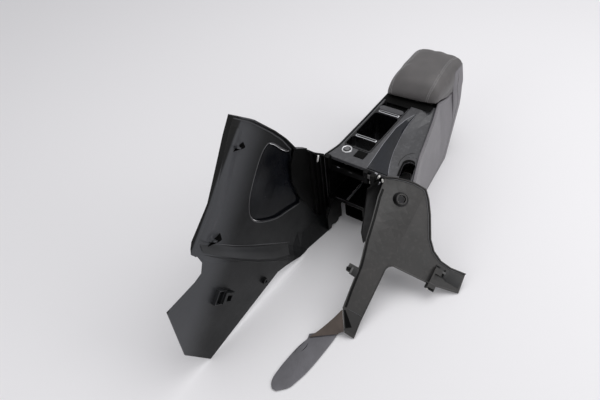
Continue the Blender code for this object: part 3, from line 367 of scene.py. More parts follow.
def edgeWear(tree, widthMm, low, high):
    # Where the rounded-off normal departs from the true one: the edges that hands and tools have rubbed
    rounded = addNode(tree, "ShaderNodeBevel", {"samples": 4, "Radius": widthMm / 1000})
    true = addNode(tree, "ShaderNodeNewGeometry")
    meet = addNode(tree, "ShaderNodeVectorMath", {"operation": "DOT_PRODUCT"},
                   {0: rounded.outputs["Normal"], 1: true.outputs["Normal"]})
    return ranged(tree, meet.outputs["Value"], high, low)


# Noises: size in millimetres, the range that counts, and where given what it becomes and its detail
moulding = {
    "flow": (70, 0.35, 0.65),
    "dust": (9, 0.52, 0.72, 0.0, 0.55, 8.0),
    "rubbed": (16, 0.35, 0.6, 0.25),
    "edge": (1.2, 0.80, 0.97),
    "sheen": (45, 0.3, 0.7),
}


def mouldedPlastic(name, first, second, roughness, grainMm, depthMm, swing=0.06, worn=None, dust=None, **sockets):
    # Injection-moulded plastic: a fine spark-eroded grain, faint flow clouds, paler rubbed edges, a film of dust
    made, tree, shader, place = newMaterial(name, roughness, **sockets)
    colour = mixed(tree, clouded(tree, place, *moulding["flow"]), first, second)
    if dust:
        colour = mixed(tree, clouded(tree, place, *moulding["dust"]), colour, dust)
    if worn:
        rub = addNode(tree, "ShaderNodeMath", {"operation": "MULTIPLY"},
                      {0: edgeWear(tree, *moulding["edge"]), 1: clouded(tree, place, *moulding["rubbed"])})
        colour = mixed(tree, rub.outputs["Value"], colour, worn)
    tree.links.new(colour, shader.inputs["Base Color"])
    bumped(tree, shader, noise(tree, place, grainMm, 2.0, Roughness=0.6), 0.5, depthMm)
    sheen = clouded(tree, place, *moulding["sheen"], roughness - swing, roughness + swing, 4.0)
    tree.links.new(sheen, shader.inputs["Roughness"])
    return made


def leatherette(name, first, second, roughness, grainMm, depthMm, creaseMm=0.0):
    # PVC leatherette: an emboss of small cells, soft wrinkles and a little dust in the valleys
    made, tree, shader, place = newMaterial(name, roughness, Sheen_Weight=0.10, Sheen_Roughness=0.5)
    cells = addNode(tree, "ShaderNodeTexVoronoi",
                    {"feature": "SMOOTH_F1", "Scale": 1000 / grainMm, "Smoothness": 0.6},
                    {"Vector": place}).outputs["Distance"]
    wrinkle = noise(tree, place, grainMm * 5, 5.0, Roughness=0.65)
    height = addNode(tree, "ShaderNodeMath", {"operation": "SUBTRACT"}, {0: wrinkle, 1: cells})
    normal = bumped(tree, shader, height.outputs["Value"], 0.6, depthMm)
    if creaseMm:
        fold = noise(tree, place, 1000 / 42, 3.0, Distortion=1.6)
        bumped(tree, shader, fold, 0.7, creaseMm, {"Normal": normal})
    colour = mixed(tree, clouded(tree, place, 45, 0.35, 0.65), first, second)
    valley = ranged(tree, cells, 0.15, 0.75, 0.0, 0.35)
    tree.links.new(mixed(tree, valley, colour, second), shader.inputs["Base Color"])
    return made


def plainMetal(name, colour, roughness, scratchMm, depthMm):
    # Plated metal: mirror or zinc finish with hair-fine handling scratches
    made, tree, shader, place = newMaterial(name, roughness, metallic=1.0)
    shader.inputs["Base Color"].default_value = hexLinear(colour)
    bumped(tree, shader, noise(tree, place, scratchMm, 3.0, Distortion=2.0), 0.2, depthMm)
    sheen = clouded(tree, place, 6, 0.35, 0.65, roughness * 0.8, roughness * 1.35)
    tree.links.new(sheen, shader.inputs["Roughness"])
    return made


satinTrim = mouldedPlastic("satinGreyPaintedTrim", "3A3A3C", "424245", 0.40, 0.9, 0.05, worn="6E6E72", dust="58585A")
pianoBlack = mouldedPlastic("highGlossBlackAbs", "070708", "0B0B0D", 0.13, 6.0, 0.01, 0.03, dust="161618")
dividerGloss = mouldedPlastic("highGlossDividerFacing", "0C0E13", "12151C", 0.16, 6.0, 0.01, 0.03, dust="23252C")
frameBlack = mouldedPlastic("matteBlackPolypropylene", "040404", "070707", 0.42, 1.4, 0.10, 0.08, worn="1A1A1A",
                            Specular_IOR_Level=0.16)
# Deep black for the switch's place and blank, and as painted shade in gaps, folds, the handbrake slot, under the lid's
# front and on edges turned from the light
deepBlackAndShade = mouldedPlastic("deepBlackPlasticAndPaintedShade", "030303", "050505", 0.6, 1.4, 0.05, 0.05,
                           Specular_IOR_Level=0.08)
panelCharcoal = mouldedPlastic("charcoalMouldedPanel", "0B0C0D", "121314", 0.38, 1.2, 0.08, 0.07, worn="3A3B3D",
                               dust="1C1D1F", Specular_IOR_Level=0.22)
panelWarm = mouldedPlastic("warmGreyMouldedPanel", "252423", "2D2B2A", 0.44, 1.2, 0.12, 0.07, worn="4E4C4A",
                           dust="3A3836")
pocketGloss = mouldedPlastic("polishedPocketPlastic", "06070A", "0B0D12", 0.24, 8.0, 0.02, 0.05, dust="0E0F12",
                             Specular_IOR_Level=0.22)
# Black for clips, plates and rims, and as painted shade in grooves, holes, a recess and under the ledge
blackPartAndShade = mouldedPlastic("blackMouldedPlasticAndPaintedShade", "0A0A0B", "101011", 0.42, 1.2, 0.06, 0.06, worn="333334")
armLeather = leatherette("greyPebbledLeatherette", "4A4848", "524F4F", 0.48, 1.5, 0.35)
# The wrap's leatherette is lighter and bluer than the lid's, as painted light on the side lit from the right
litWallLeather = leatherette("wrappedSideLeatherettePaintedLighter", "5E5C60", "686569", 0.48, 1.5, 0.30)
flapFace = leatherette("flapLeatheretteFace", "59585C", "636267", 0.5, 1.5, 0.30, creaseMm=1.2)
flapBack = leatherette("flapFabricBacking", "4A423D", "564C46", 0.85, 1.0, 0.25, creaseMm=1.0)
seamThread = leatherette("polyesterSeamThread", "A9A8A9", "B5B4B5", 0.6, 0.5, 0.05)
bezelSatin = plainMetal("satinChromeBezel", "E4E4E6", 0.34, 2.0, 0.02)
chromePlate = plainMetal("brightChromePlate", "D8D9DC", 0.12, 4.0, 0.02)
zincSteel = plainMetal("zincPlatedSteel", "A9A69E", 0.34, 1.0, 0.05)
# Silver beads and chips: painted highlights on the divider's edges and on bits at the deck's front corners
silverHighlight = mouldedPlastic("paintedHighlightSilver", "77777C", "84848A", 0.28, 1.5, 0.02, 0.04)
knobSilver = mouldedPlastic("satinSilverKnob", "5E5E60", "6A6A6C", 0.32, 1.5, 0.02, 0.04)
# Pale grey lines on rims, lips, creases and edges: painted highlights where edges catch the light
paleRimHighlight = mouldedPlastic("palePaintedHighlightRim", "3E3E40", "505052", 0.36, 1.0, 0.04, 0.05)
# Grey for the plate on the rail, and as painted highlights on rims, ridges, clip tops and the boss's foot
greyRimAndHighlight = mouldedPlastic("greyPlateAndPaintedHighlightRim", "454545", "565554", 0.42, 1.0, 0.05, 0.05)
seamShade = leatherette("seamValleyLeatherette", "3B393B", "434144", 0.6, 1.0, 0.10)
slitWhite = mouldedPlastic("tornWhiteEdge", "E6E5E2", "F4F3F0", 0.5, 0.8, 0.05)
stressWhite = mouldedPlastic("stressWhitenedPlastic", "B9B8B4", "DAD9D6", 0.6, 0.8, 0.10)
blackRubber = mouldedPlastic("blackNitrileRubber", "121212", "181818", 0.75, 1.0, 0.10)
# Warm grey darkened as painted shade on the finger's bent end
shadedEndWarm = mouldedPlastic("paintedShadeWarmGreyPlastic", "1D1C1B", "242221", 0.5, 1.2, 0.12, 0.07)
# The ledge's plastic is painted lighter than the panel, as painted light on its up-facing band
ledgeLitPlastic = mouldedPlastic("paintedLightLedge", "1F2022", "28292B", 0.36, 1.4, 0.06, 0.06)


def fadedAlong(made, way, start, end, tone, share):
    # The colour turns into another tone between two distances, in metres, along one direction of the console
    tree = made.node_tree
    shader = tree.nodes["Principled BSDF"]
    place = addNode(tree, "ShaderNodeTexCoord").outputs["Object"]
    run = addNode(tree, "ShaderNodeVectorMath", {"operation": "DOT_PRODUCT", 1: way}, {0: place})
    fade = ranged(tree, run.outputs["Value"], start, end, 0.0, share, interpolation_type="SMOOTHSTEP")
    colour = mixed(tree, fade, shader.inputs["Base Color"].links[0].from_socket, tone)
    tree.links.new(colour, shader.inputs["Base Color"])


# Painted light on the left panel: a painted highlight band on its upper part and a lip of painted shade along its
# outer edge, then painted shade on the ledge's end under the frame
fadedAlong(panelCharcoal, (0.0, -0.7071, 0.7071), 0.655, 0.77, "444548", 0.95)
fadedAlong(panelCharcoal, (-1.0, -0.3536, 0.3536), 0.494, 0.499, "040404", 1.0)
fadedAlong(ledgeLitPlastic, (0.0, 0.7071, -0.7071), -0.68, -0.44, "101112", 1.0)
print("materials made")

finishNodes = (
    (satinTrim, ("deck_trim", "tray_adapter", "lighter_knob")),
    (pianoBlack, ("cupholder_tray", "switch_blank", "rear_outlet_grille")),
    (dividerGloss, ("divider_trim",)),
    (pocketGloss, ("left_wing_pocket",)),
    (frameBlack, ("inner_carrier", "front_bracket", "storage_bin", "air_duct", "lid_lower_shell")),
    (panelCharcoal, ("left_side_cover", "left_wing", "rear_panel")),
    (panelWarm, ("right_wing",)),
    (litWallLeather, ("right_side_cover",)),
    (armLeather, ("lid_cushion",)),
    (flapFace, ("right_wing_flap",)),
    (chromePlate, ("socket_ring", "cupholder_bar_front", "cupholder_bar_rear")),
    (zincSteel, ("socket_barrel", "hinge_bracket", "hinge_pin", "tunnel_foot", "retainer_plate")),
    (blackRubber, ("bin_mat", "lid_stop_left", "lid_stop_right")),
)
for finish, nodeNames in finishNodes:
    for nodeName in nodeNames:
        nodes[nodeName].data.materials.clear()
        nodes[nodeName].data.materials.append(finish)
print("solids finished")


# Side covers: the leatherette wrap and the moulded left side, with the round shoulders beside the lid

sides = {
    "wallMm": 2.6,
    "deckTopMm": 240.0,
    "lidTurnsAbout": (488.0, 252.0),
    "shoulderRadiusMm": 44.6,
    "shoulderTopMm": 286.0,      # the rolled edge rises some 2 mm above it
    "rollMm": ((432, 443), (6.0, 4.8)),
    "rollRiseMm": 6.2,
    "cheekDipMm": 19.5,
    "leftEdge": ((0, 50, 200, 320, 516), (-90, -79, -79, -80.5, -80.5)),
    "rightEdge": ((0, 56, 125, 190, 290, 350, 455, 516), (165, 153, 138, 123.5, 101, 85.5, 82.5, 81)),
    "rightDrop": ((0, 56, 125, 190, 290, 350), (33, 30, 27, 23, 11, 0)),
    "leftFoot": ((0, 400), (-94, -90)),
    "rightFoot": ((0, 233, 401, 516), (139, 114, 96, 86)),
    "bulgeMm": 4,
    "stations": (*np.linspace(0, 340, 26), *np.linspace(350, 440, 19), 442, 442.9, 443.4, 443.8, 444.4, 445.4,
                 447, 449, 452, 455, 458, 461, 464, 468, 474, 480, 488, 496, 502),
    "rearCorner": ((506, 0.6), (509, 1.8), (511.5, 3.4), (513.5, 5.8), (515, 9), (516, 13)),
}


def deckEdge(side, y):
    if side < 0:
        return between(y, *sides["leftEdge"]), sides["deckTopMm"]
    return between(y, *sides["rightEdge"]), sides["deckTopMm"] - between(y, *sides["rightDrop"])


def fanned(x, y):
    # The deck's front edge runs back towards the handbrake side, and all that lies near it follows
    return y + between(x, (60, 88, 165), (0, 30, 46)) * max(0.0, 1 - y / 140)


def cheekDip(y):
    return between(y, (350, 365, 385, 405, 420, 443), (0, 0.13, 0.51, 0.85, 1, 1)) * sides["cheekDipMm"]


def coverTop(side, y):
    # The top edge dips in an arc under the lid's cheek and rises round the lid's hinge behind it
    hingeY, hingeZ = sides["lidTurnsAbout"]
    if y <= hingeY - sides["shoulderRadiusMm"]:
        return deckEdge(side, y)[1] - cheekDip(y)
    reach = math.sqrt(max(0.0, sides["shoulderRadiusMm"] ** 2 - (y - hingeY) ** 2))
    return min(sides["shoulderTopMm"], hingeZ + reach) if y < hingeY else sides["shoulderTopMm"]


def coverRows(side):
    rows = []
    for y, inward in [(float(y), 0.0) for y in sides["stations"]] + list(sides["rearCorner"]):
        edgeX = deckEdge(side, y)[0]
        top = coverTop(side, y)
        crest = top - 4
        footX = between(y, *sides["leftFoot"]) if side < 0 else between(y, *sides["rightFoot"])
        foot = 165 * max(0.0, (y - 401) / 115)
        back = fanned(max(edgeX, footX), y)
        roll = between(y, *sides["rollMm"])
        row = []
        for t in np.linspace(0, 1, 22):
            z = foot + (crest - foot) * t
            wrap = inward * (1 - 0.85 * eased((z - 200) / 30))
            bulge = sides["bulgeMm"] * math.sin(math.pi * t) * (1 - t * t * 0.2)
            row.append(mm(footX + (edgeX - footX) * t + side * (bulge - wrap), back, z))
        for turn in (12, 30, 48, 66, 84):
            angle = math.radians(turn)
            row.append(mm(edgeX - side * (roll * 0.62 * (1 - math.cos(angle)) + 0.15 * inward), back,
                          crest + sides["rollRiseMm"] * math.sin(angle)))
        for share, up in ((0.8, 2.1), (1.0, 1.5)):
            row.append(mm(edgeX - side * (share * roll + 0.15 * inward), back, top + up))
        rows.append(row)
    return rows


def makeCover(name, node, side, finish):
    mesh = loftMesh(name, coverRows(side))
    piece = addPiece(name, mesh, finish)
    inside = Vector((0, 0, 0.12))
    facing = sum(face.area * face.normal.dot(inside - face.center) for face in mesh.polygons)
    walled(piece, sides["wallMm"], math.copysign(1.0, facing))
    edged(applied(piece), 50)
    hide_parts(node)
    return piece


rightWrap = makeCover("rightLeatherWrap", "right_side_cover", 1, litWallLeather)
makeCover("leftMouldedWall", "left_side_cover", -1, panelCharcoal)
print("side covers made")


# Armrest: foam under leatherette, a rolled front, cheeks over the covers and a double-stitched seam on each side

armrest = {
    "frontMm": 324.0,
    "rearMm": 519.5,
    "rearBowMm": 12.0,
    "frontBowMm": 9.0,
    "bottomMm": 243.2,
    "topMm": 305.6,
    "frontRollMm": 80.0,
    "rearRollMm": 7.0,
    "rearDropMm": 13,
    "rollPower": 2 / 2.4,
    "frontTurns": (3, 9, 15, 22, 30, 38, 47, 56, 66, 78, 90),
    "rearTurns": (90, 68, 48, 30, 15),
    "flatStations": (413, 422, 432, 441, 450, 459, 468, 477),
    "sagging": ((486, 0.2), (494, 0.8), (501, 1.4)),
    "left": ((310, 345, 432, 500, 510, 518), (-76, -79.2, -82.0, -82.2, -81.2, -77.0)),
    "right": ((310, 345, 432, 470, 500, 510, 518), (71, 81.6, 84.0, 84.4, 84.2, 83.2, 79.5)),
    "boxiness": ((345, 400, 440), (0.50, 0.34, 0.26)),
    "skew": 0.08,
    "crownDip": 0.035,
}


def armrestStations():
    # Places along the pad, each with the height of its skin above the pad's bottom
    rise = armrest["topMm"] - armrest["bottomMm"]
    flatStart = armrest["frontMm"] + armrest["frontRollMm"]
    flatEnd = armrest["rearMm"] - armrest["rearRollMm"]
    power = armrest["rollPower"]
    stations = []
    for angle in map(math.radians, armrest["frontTurns"]):
        stations.append((flatStart - armrest["frontRollMm"] * math.cos(angle) ** power,
                         rise * math.sin(angle) ** power))
    stations += [(y, rise) for y in armrest["flatStations"]]
    stations += [(y, rise - sag) for y, sag in armrest["sagging"]]
    for angle in map(math.radians, armrest["rearTurns"]):
        stations.append((flatEnd + armrest["rearRollMm"] * math.cos(angle) ** power,
                         rise - 2.0 - armrest["rearDropMm"] * (1 - math.sin(angle) ** power)))
    return stations


def armrestRows():
    low = armrest["bottomMm"]
    rows = []
    for y, lift in armrestStations():
        left, right = between(y, *armrest["left"]), between(y, *armrest["right"])
        middle, half = (left + right) / 2, (right - left) / 2
        skew = armrest["skew"] * max(0.0, 1 - (y - armrest["frontMm"]) / armrest["frontRollMm"])
        bow = armrest["rearBowMm"] * eased((y - 440) / 60)
        frontBow = armrest["frontBowMm"] * max(0.0, 1 - (y - armrest["frontMm"]) / 45)
        bottom = low - max(0.0, cheekDip(y) - 1.2)
        boxy = between(y, *armrest["boxiness"])
        row = []
        for i in range(33):
            angle = math.pi * i / 32
            across = math.copysign(abs(math.cos(angle)) ** boxy, math.cos(angle))
            crown = abs(math.sin(angle)) ** boxy
            x = middle + half * across
            row.append(mm(x, y + skew * x + bow * (1 - across * across) + frontBow * across ** 6,
                          bottom + (low + lift - bottom) * crown * (1 - armrest["crownDip"] * across * across)))
        rows.append(row)
    return rows


# What is cut out of the pad: room for the lid's shell, the hinge, the rear panel and the covers' shoulders

padRooms = {
    "shellRoom": ((-73.0, 332.0, 180.0), (74.5, 600.0, 248.3)),
    "hingeRoom": ((-130.0, 456.5, 180.0), (130.0, 600.0, 259.2)),
    "rearRoom": ((-130.0, 503.0, 180.0), (130.0, 600.0, 276.0)),
}
shoulderRooms = {
    "across": {"rightShoulderRoom": (75.2, 130.0), "leftShoulderRoom": (-130.0, -74.2)},
    "clearanceMm": 0.4,
    "roofMm": 2.7,
    "floorMm": 200.0,
    "rearMm": 600.0,
}


def shoulderMesh(name, inner, outer):
    # An arc about the hinge, up to just above the shoulder's top
    hingeY, hingeZ = sides["lidTurnsAbout"]
    radius = sides["shoulderRadiusMm"] + shoulderRooms["clearanceMm"]
    roof = sides["shoulderTopMm"] + shoulderRooms["roofMm"]
    floor, rear = shoulderRooms["floorMm"], shoulderRooms["rearMm"]
    profile = [(hingeY - radius, floor)]
    for k in range(13):
        z = hingeZ + (roof - hingeZ) * k / 12
        profile.append((hingeY - math.sqrt(max(0.0, radius ** 2 - (z - hingeZ) ** 2)), z))
    profile += [(rear, roof), (rear, floor)]
    return loftMesh(name, [[mm(x, y, z) for y, z in profile] for x in (inner, outer)], closed=True, capped=True)


def cutAway(piece, meshes):
    cutters = [linked(mesh.name, mesh) for mesh in meshes]
    for cutter in cutters:
        step = piece.modifiers.new(cutter.name, "BOOLEAN")
        step.operation = "DIFFERENCE"
        step.solver = "EXACT"
        step.object = cutter
    bpy.context.view_layer.update()
    made = applied(piece)
    for cutter in cutters:
        bpy.data.objects.remove(cutter)
    return made


padCloth = {
    "voxelMm": 4.0,
    "quickVoxelMm": 5.0,
    "heldBelowMm": 250,
    "pressure": 4.0,
    "tension": 25,
    "bending": 2,
    "steps": 20,
    "swellCapMm": 2.4,
}


def swelled(piece):
    # Cloth under pressure, held at its foot, then the movement of each point is capped
    remeshed(piece, padCloth["voxelMm"])
    before = np.array([tuple(vert.co) for vert in piece.data.vertices])
    hold = piece.vertex_groups.new(name="held")
    for vert in piece.data.vertices:
        hold.add([vert.index], 1.0 if vert.co.z < padCloth["heldBelowMm"] / 1000 else 0.0, "REPLACE")
    settings = piece.modifiers.new("Cloth", "CLOTH").settings
    settings.use_pressure = True
    settings.uniform_pressure_force = padCloth["pressure"]
    settings.effector_weights.gravity = 0.0
    settings.vertex_group_mass = "held"
    settings.tension_stiffness = padCloth["tension"]
    settings.bending_stiffness = padCloth["bending"]
    scene = bpy.context.scene
    for step in range(1, padCloth["steps"] + 1):
        scene.frame_set(step)
    applied(piece)
    after = np.array([tuple(vert.co) for vert in piece.data.vertices])
    move = after - before
    length = np.linalg.norm(move, axis=1, keepdims=True)
    kept = before + move * np.minimum(1.0, padCloth["swellCapMm"] / 1000 / np.maximum(length, 1e-9))
    piece.data.vertices.foreach_set("co", kept.ravel())
    scene.frame_set(1)
    print("armrest swelled: most", round(float(length.max()) * 1000, 1), "mm before the cap")


padMesh = loftMesh("armrestPad", armrestRows(), closed=True, capped=True)
armrestPad = addPiece("armrestPad", padMesh, armLeather, "lid")
swelled(armrestPad)
relax = armrestPad.modifiers.new("Relax", "SMOOTH")
relax.factor = 0.5
relax.iterations = 3
refined(armrestPad)
applied(armrestPad)

padSeam = {
    "rollCentre": (404.0, 236.0),
    "reachMm": 160,
    "roll": {1: ((0, 20, 50, 90), (51.5, 54, 60, 57)), -1: ((0, 20, 50, 90), (-61, -64, -67, -65.5))},
    "top": {1: ((404, 456, 494, 526), (57, 52.5, 53, 59)), -1: ((404, 456, 494, 526), (-65.5, -63, -62, -61))},
    "sinkMm": 0.9,
    "widthMm": 2.4,
    "offsetMm": 2.6,
    "stitch": (5.0, 3.6, 0.75),      # pitch, length and thickness
}


def seamOn(skin, side):
    # The seam's line over the front roll and along the top, sent onto the pad from outside
    centreY, centreZ = padSeam["rollCentre"]
    spots, ways = [], []
    for turn in np.linspace(6, 90, 26):
        angle = math.radians(float(turn))
        x = between(float(turn), *padSeam["roll"][side])
        spots.append(mm(x, centreY - padSeam["reachMm"] * math.cos(angle),
                        centreZ + padSeam["reachMm"] * math.sin(angle)))
        ways.append(mm(x, centreY, centreZ) - spots[-1])
    for y in np.linspace(412, 526, 30):
        spots.append(mm(between(float(y), *padSeam["top"][side]), float(y), 400))
        ways.append(straightDown)
    return laid(skin, spots, ways)


def sunkenSeams(piece, seams):
    mesh = piece.data
    co = np.array([tuple(vert.co) for vert in mesh.vertices])
    normals = np.array([tuple(vert.normal) for vert in mesh.vertices])
    near = np.full(len(co), 1.0)
    for seam in seams:
        for place in evenly([place for place, _ in seam], 1.0):
            near = np.minimum(near, np.linalg.norm(co - np.array(tuple(place)), axis=1))
    sink = padSeam["sinkMm"] / 1000 * np.exp(-(near * 1000 / padSeam["widthMm"]) ** 2)
    mesh.vertices.foreach_set("co", (co - normals * sink[:, None]).ravel())
    mesh.update()


padSkin = skinOf(armrestPad)
padSeams = {"Right": seamOn(padSkin, 1), "Left": seamOn(padSkin, -1)}
sunkenSeams(armrestPad, padSeams.values())
padSkin = skinOf(armrestPad)
for label, seam in padSeams.items():
    for row, offset in (("Inner", -padSeam["offsetMm"]), ("Outer", padSeam["offsetMm"])):
        starts = [place + Vector((offset / 1000, 0, 0)) + normal * 0.02 for place, normal in seam]
        spots = laid(padSkin, starts, [-normal for _, normal in seam], 0.0002)
        stitchRow("armrestStitch" + label + row, spots, *padSeam["stitch"], "lid")
roomMeshes = [shoulderMesh(name, *across) for name, across in shoulderRooms["across"].items()]
roomMeshes += [blockMesh(name, mm(*low), mm(*high)) for name, (low, high) in padRooms.items()]
made = cutAway(armrestPad, roomMeshes)
edged(made, 45)
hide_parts("lid_cushion")
print("armrest made:", len(made.polygons), "faces")


# Deck: divider facing with bright rims as painted highlights, tray trims, socket, blank, handbrake slot marks

facing = {
    "ends": (4.0, 281.0),
    "top": ((0, 35, 114, 194, 240, 280), (41, 38, 29, 25, 32, 46)),
    "topZ": 239.4,
    "foot": ((0, 40, 130, 210, 240, 280), (92, 81, 56, 41, 41, 47.5)),
    "footDrop": ((0, 40, 130, 210, 240, 280), (33, 31, 27, 21, 14.5, 0.2)),
    "standsOut": 0.0022,
    "bow": 0.0012,
    "rimStandsOut": 0.0017,
    "wallMm": 1.4,
    "rimMm": 0.9,
}
facingRows, topLine, footLine = [], [], []
for y in np.linspace(*facing["ends"], 48):
    topX, footX = between(y, *facing["top"]), between(y, *facing["foot"])
    a = mm(topX, fanned(topX, y), facing["topZ"])
    b = mm(footX, fanned(footX, y), sides["deckTopMm"] - between(y, *facing["footDrop"]))
    across = b - a
    out = Vector((-across.z, 0, across.x)).normalized()
    facingRows.append([a.lerp(b, t) + out * (facing["standsOut"] + facing["bow"] * math.sin(math.pi * t))
                       for t in np.linspace(0.04, 0.96, 9)])
    topLine.append(a.lerp(b, 0.02) + out * facing["rimStandsOut"])
    footLine.append(a.lerp(b, 0.98) + out * facing["rimStandsOut"])
facingPiece = loftPiece("dividerFacing", facingRows, dividerGloss)
walled(facingPiece, facing["wallMm"], -1.0 if facingPiece.data.polygons[0].normal.z > 0 else 1.0)
edged(applied(facingPiece), 50)
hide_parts("divider_trim")
# Bright rims along the divider's edges are painted highlights
tube("dividerTopHighlight", topLine, facing["rimMm"], silverHighlight, thin=0.06)
tube("dividerFootHighlight", footLine, facing["rimMm"], silverHighlight, thin=0.06)

deckBoxes = {
    "barInsetFront": ((-51.6, 106.2, 244.9), (9.6, 110.8, 245.65), 0.15, pianoBlack),
    "barInsetRear": ((-51.6, 236.2, 244.9), (9.6, 240.8, 245.65), 0.15, pianoBlack),
    # Deep black strips behind the tray and in front of the lid: painted shade under the lid's front
    "trayRearShade": ((-66.0, 289.0, 241.95), (19.0, 301.5, 242.6), 0.3, deepBlackAndShade),
    "lidFrontShadeStrip": ((-76.0, 303.0, 240.2), (78.0, 331.0, 241.4), 0.4, deepBlackAndShade),
    "openSwitchPlace": ((-14.5, 28.5, 240.25), (16.5, 56.5, 241.6), 0.5, deepBlackAndShade),
    "switchBlankFace": ((-12.0, 31.0, 241.5), (14.0, 54.0, 242.0), 0.2, deepBlackAndShade),
}
for boxName, box in deckBoxes.items():
    roundedBox(boxName, *box)

# Profiles of the socket's bezel, the lighter's face and the screw holes: (radius, height)
discs = {
    "bezelAt": (-45, 45, 240),
    "lighterAt": (-45, 45, 243.6),
    "bezel": ((10.8, 0.5), (11.2, 2.3), (12.6, 3.0), (14.4, 2.7), (15.6, 1.2), (15.6, 0.3), (10.8, 0.3), (10.8, 0.5)),
    "face": ((0.01, 0.5), (6.4, 0.5), (7.4, 0.2), (7.4, -0.2), (0.01, -0.2), (0.01, 0.5)),
    "ring": ((8.3, 0.1), (9.0, 0.5), (9.7, 0.1), (9.7, -0.3), (8.3, -0.3), (8.3, 0.1)),
    "hole": ((0.01, 0.35), (1.5, 0.35), (1.9, 0.0), (1.9, -0.3), (0.01, -0.3), (0.01, 0.35)),
}
bezel = turnedDisc("socketBezel", discs["bezel"], discs["bezelAt"], bezelSatin)
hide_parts("socket_ring")
turnedDisc("lighterFaceDisc", discs["face"], discs["lighterAt"], knobSilver, "lighter")
turnedDisc("lighterFaceRing", discs["ring"], discs["lighterAt"], blackPartAndShade, "lighter")

deckLines = {
    "slotArc": ((97, 79), (92, 93), (90, 106), (92, 125), (97, 135), (104, 143), (114, 148), (126, 150)),
    "screwHoles": {"A": (106, 125), "B": (117, 128), "C": (125, 130)},
    "frontLip": (-84, 58),
    "trayRim": ((-64, 61, 242.0), (17.5, 61, 242.0), (17.5, 288, 242.0)),
}
deckSkin = skinOf(nodes["deck_trim"])
# The slot's groove and screw holes are drawn black as painted shade
slotArc = dropped(deckSkin, deckLines["slotArc"], 0.0001)
tube("handbrakeSlotGroove", evenly(slotArc, 2.0), 0.9, blackPartAndShade, thin=0.1)
for label, at in deckLines["screwHoles"].items():
    spot = dropped(deckSkin, [at])[0] * 1000
    turnedDisc("slotScrewHole" + label, discs["hole"], (spot.x, spot.y + deckStartMm, spot.z), blackPartAndShade, segments=24)
tube("deckFrontLip", dropped(deckSkin, [(x, 1.2) for x in np.linspace(*deckLines["frontLip"], 26)]), 0.7, paleRimHighlight)
tube("trayRimLine", evenly(drawn(deckLines["trayRim"]), 6.0), 0.45, paleRimHighlight)
print("deck trimmed")


# Right cover: a double-stitched seam under the top edge and a hem inside the rear edge

wrapTrim = {
    "seamEnds": (12, 346),
    "seamDropMm": ((0, 60, 346), (7, 8, 5)),
    "seamMm": 0.55,
    "hemMm": 0.5,
    "stitch": (5.0, 3.6, 0.7),          # pitch, length and thickness, as in the next line
    "hemStitch": (6.0, 4.2, 0.6),
    "hem": ((484, 279), (482.5, 268), (480.5, 256), (476, 244), (472, 236), (469, 222), (475, 200), (478, 182),
            (474, 160), (462, 140), (446, 112), (432, 90), (418, 68), (404, 46), (390, 28), (372, 17), (350, 12),
            (320, 10), (290, 9), (240, 8), (190, 8), (150, 8)),
}
wrapSkin = skinOf(rightWrap)


def onWrap(y, z):
    # The place and the normal of the wrap beside a point given as (y, z)
    return laid(wrapSkin, [Vector((0.4, (y - deckStartMm) / 1000, z / 1000))], Vector((-1, 0, 0)), 0.0001)


def shifted(spots, *move):
    return [(place + Vector(move), normal) for place, normal in spots]


seamSpots, hemSpots = [], []
for y in np.linspace(*wrapTrim["seamEnds"], 60):
    seamSpots += onWrap(fanned(150.0, float(y)), coverTop(1, y) - between(float(y), *wrapTrim["seamDropMm"]))
for y, z in wrapTrim["hem"]:
    hemSpots += onWrap(y, z)
tube("wrapTopSeam", [place for place, _ in seamSpots], wrapTrim["seamMm"], seamShade)
stitchRow("wrapTopStitchUpper", shifted(seamSpots, -0.0004, 0, 0.0026), *wrapTrim["stitch"])
stitchRow("wrapTopStitchLower", shifted(seamSpots, 0.0003, 0, -0.0026), *wrapTrim["stitch"])
tube("wrapHemLine", evenly([place for place, _ in hemSpots], 4.0), wrapTrim["hemMm"], seamShade, thin=0.04)
stitchRow("wrapHemStitch", shifted(hemSpots, 0.0002, -0.0026, 0.0004), *wrapTrim["hemStitch"])
print("side wrap trimmed")


# Left knee panel: black lip as painted shade, bowed border, ledge lines as painted highlight and shadow, pocket rim as
# painted highlight, clip fins

leftTrim = {
    "edge": ((434, 14), (433, -32), (427, -105), (421, -184), (430, -240), (439.5, -296)),
    "border": ((431, -4), (433, -32), (427, -105), (421, -184), (430, -240), (434, -262)),
    "top": ((172, -13), (222, 3), (278, 12), (364, 19.5), (432, 14)),
    "topLip": ((0.8, 0.2), (1.4, 1.2), (3.5, 1.4), (5.0, 0.2)),
    "lipWidthMm": 12.0,
    "lipRiseMm": 1.3,
    "borderWidthMm": 46.0,
    "borderBowMm": 3.2,
    "ledgeTop": ((-487, 339), (-447, 299), (-393, 241), (-329, 180), (-257, 116), (-199, 65)),
    "ledgeFoot": ((-493, 312), (-456, 267), (-403, 204), (-348, 143), (-288, 85), (-225, 36)),
    "pocket": ((172, -20), (196, -25), (262, -14), (278, -26), (288, -57), (285, -136), (275, -172), (256, -200),
               (229, -212), (195, -212), (133, -200), (86, -172), (40, -148)),
    "pocketMiddle": (205.0, -118.0),
    "pocketGrows": 1.022,
    "fins": {"leftPanelClipfinA": ((395, -61), (364, -33)), "leftPanelClipfinB": ((383, -281), (351, -249))},
    "finHalf": 0.0011,
    "finRise": 0.017,
    "finRoot": 0.001,
}
leftSkin = skinOf(nodes["left_wing"])
diagonal = math.sqrt(0.5)


def leftFace(r, s, liftMm):
    # From the panel's own flat drawing to the face that the photo shows
    y, z = (s - r) * diagonal, 240 + (r + s) * diagonal
    return placeOn(leftSkin, mm(60, y, z), Vector((-1, 0, 0)), liftMm)


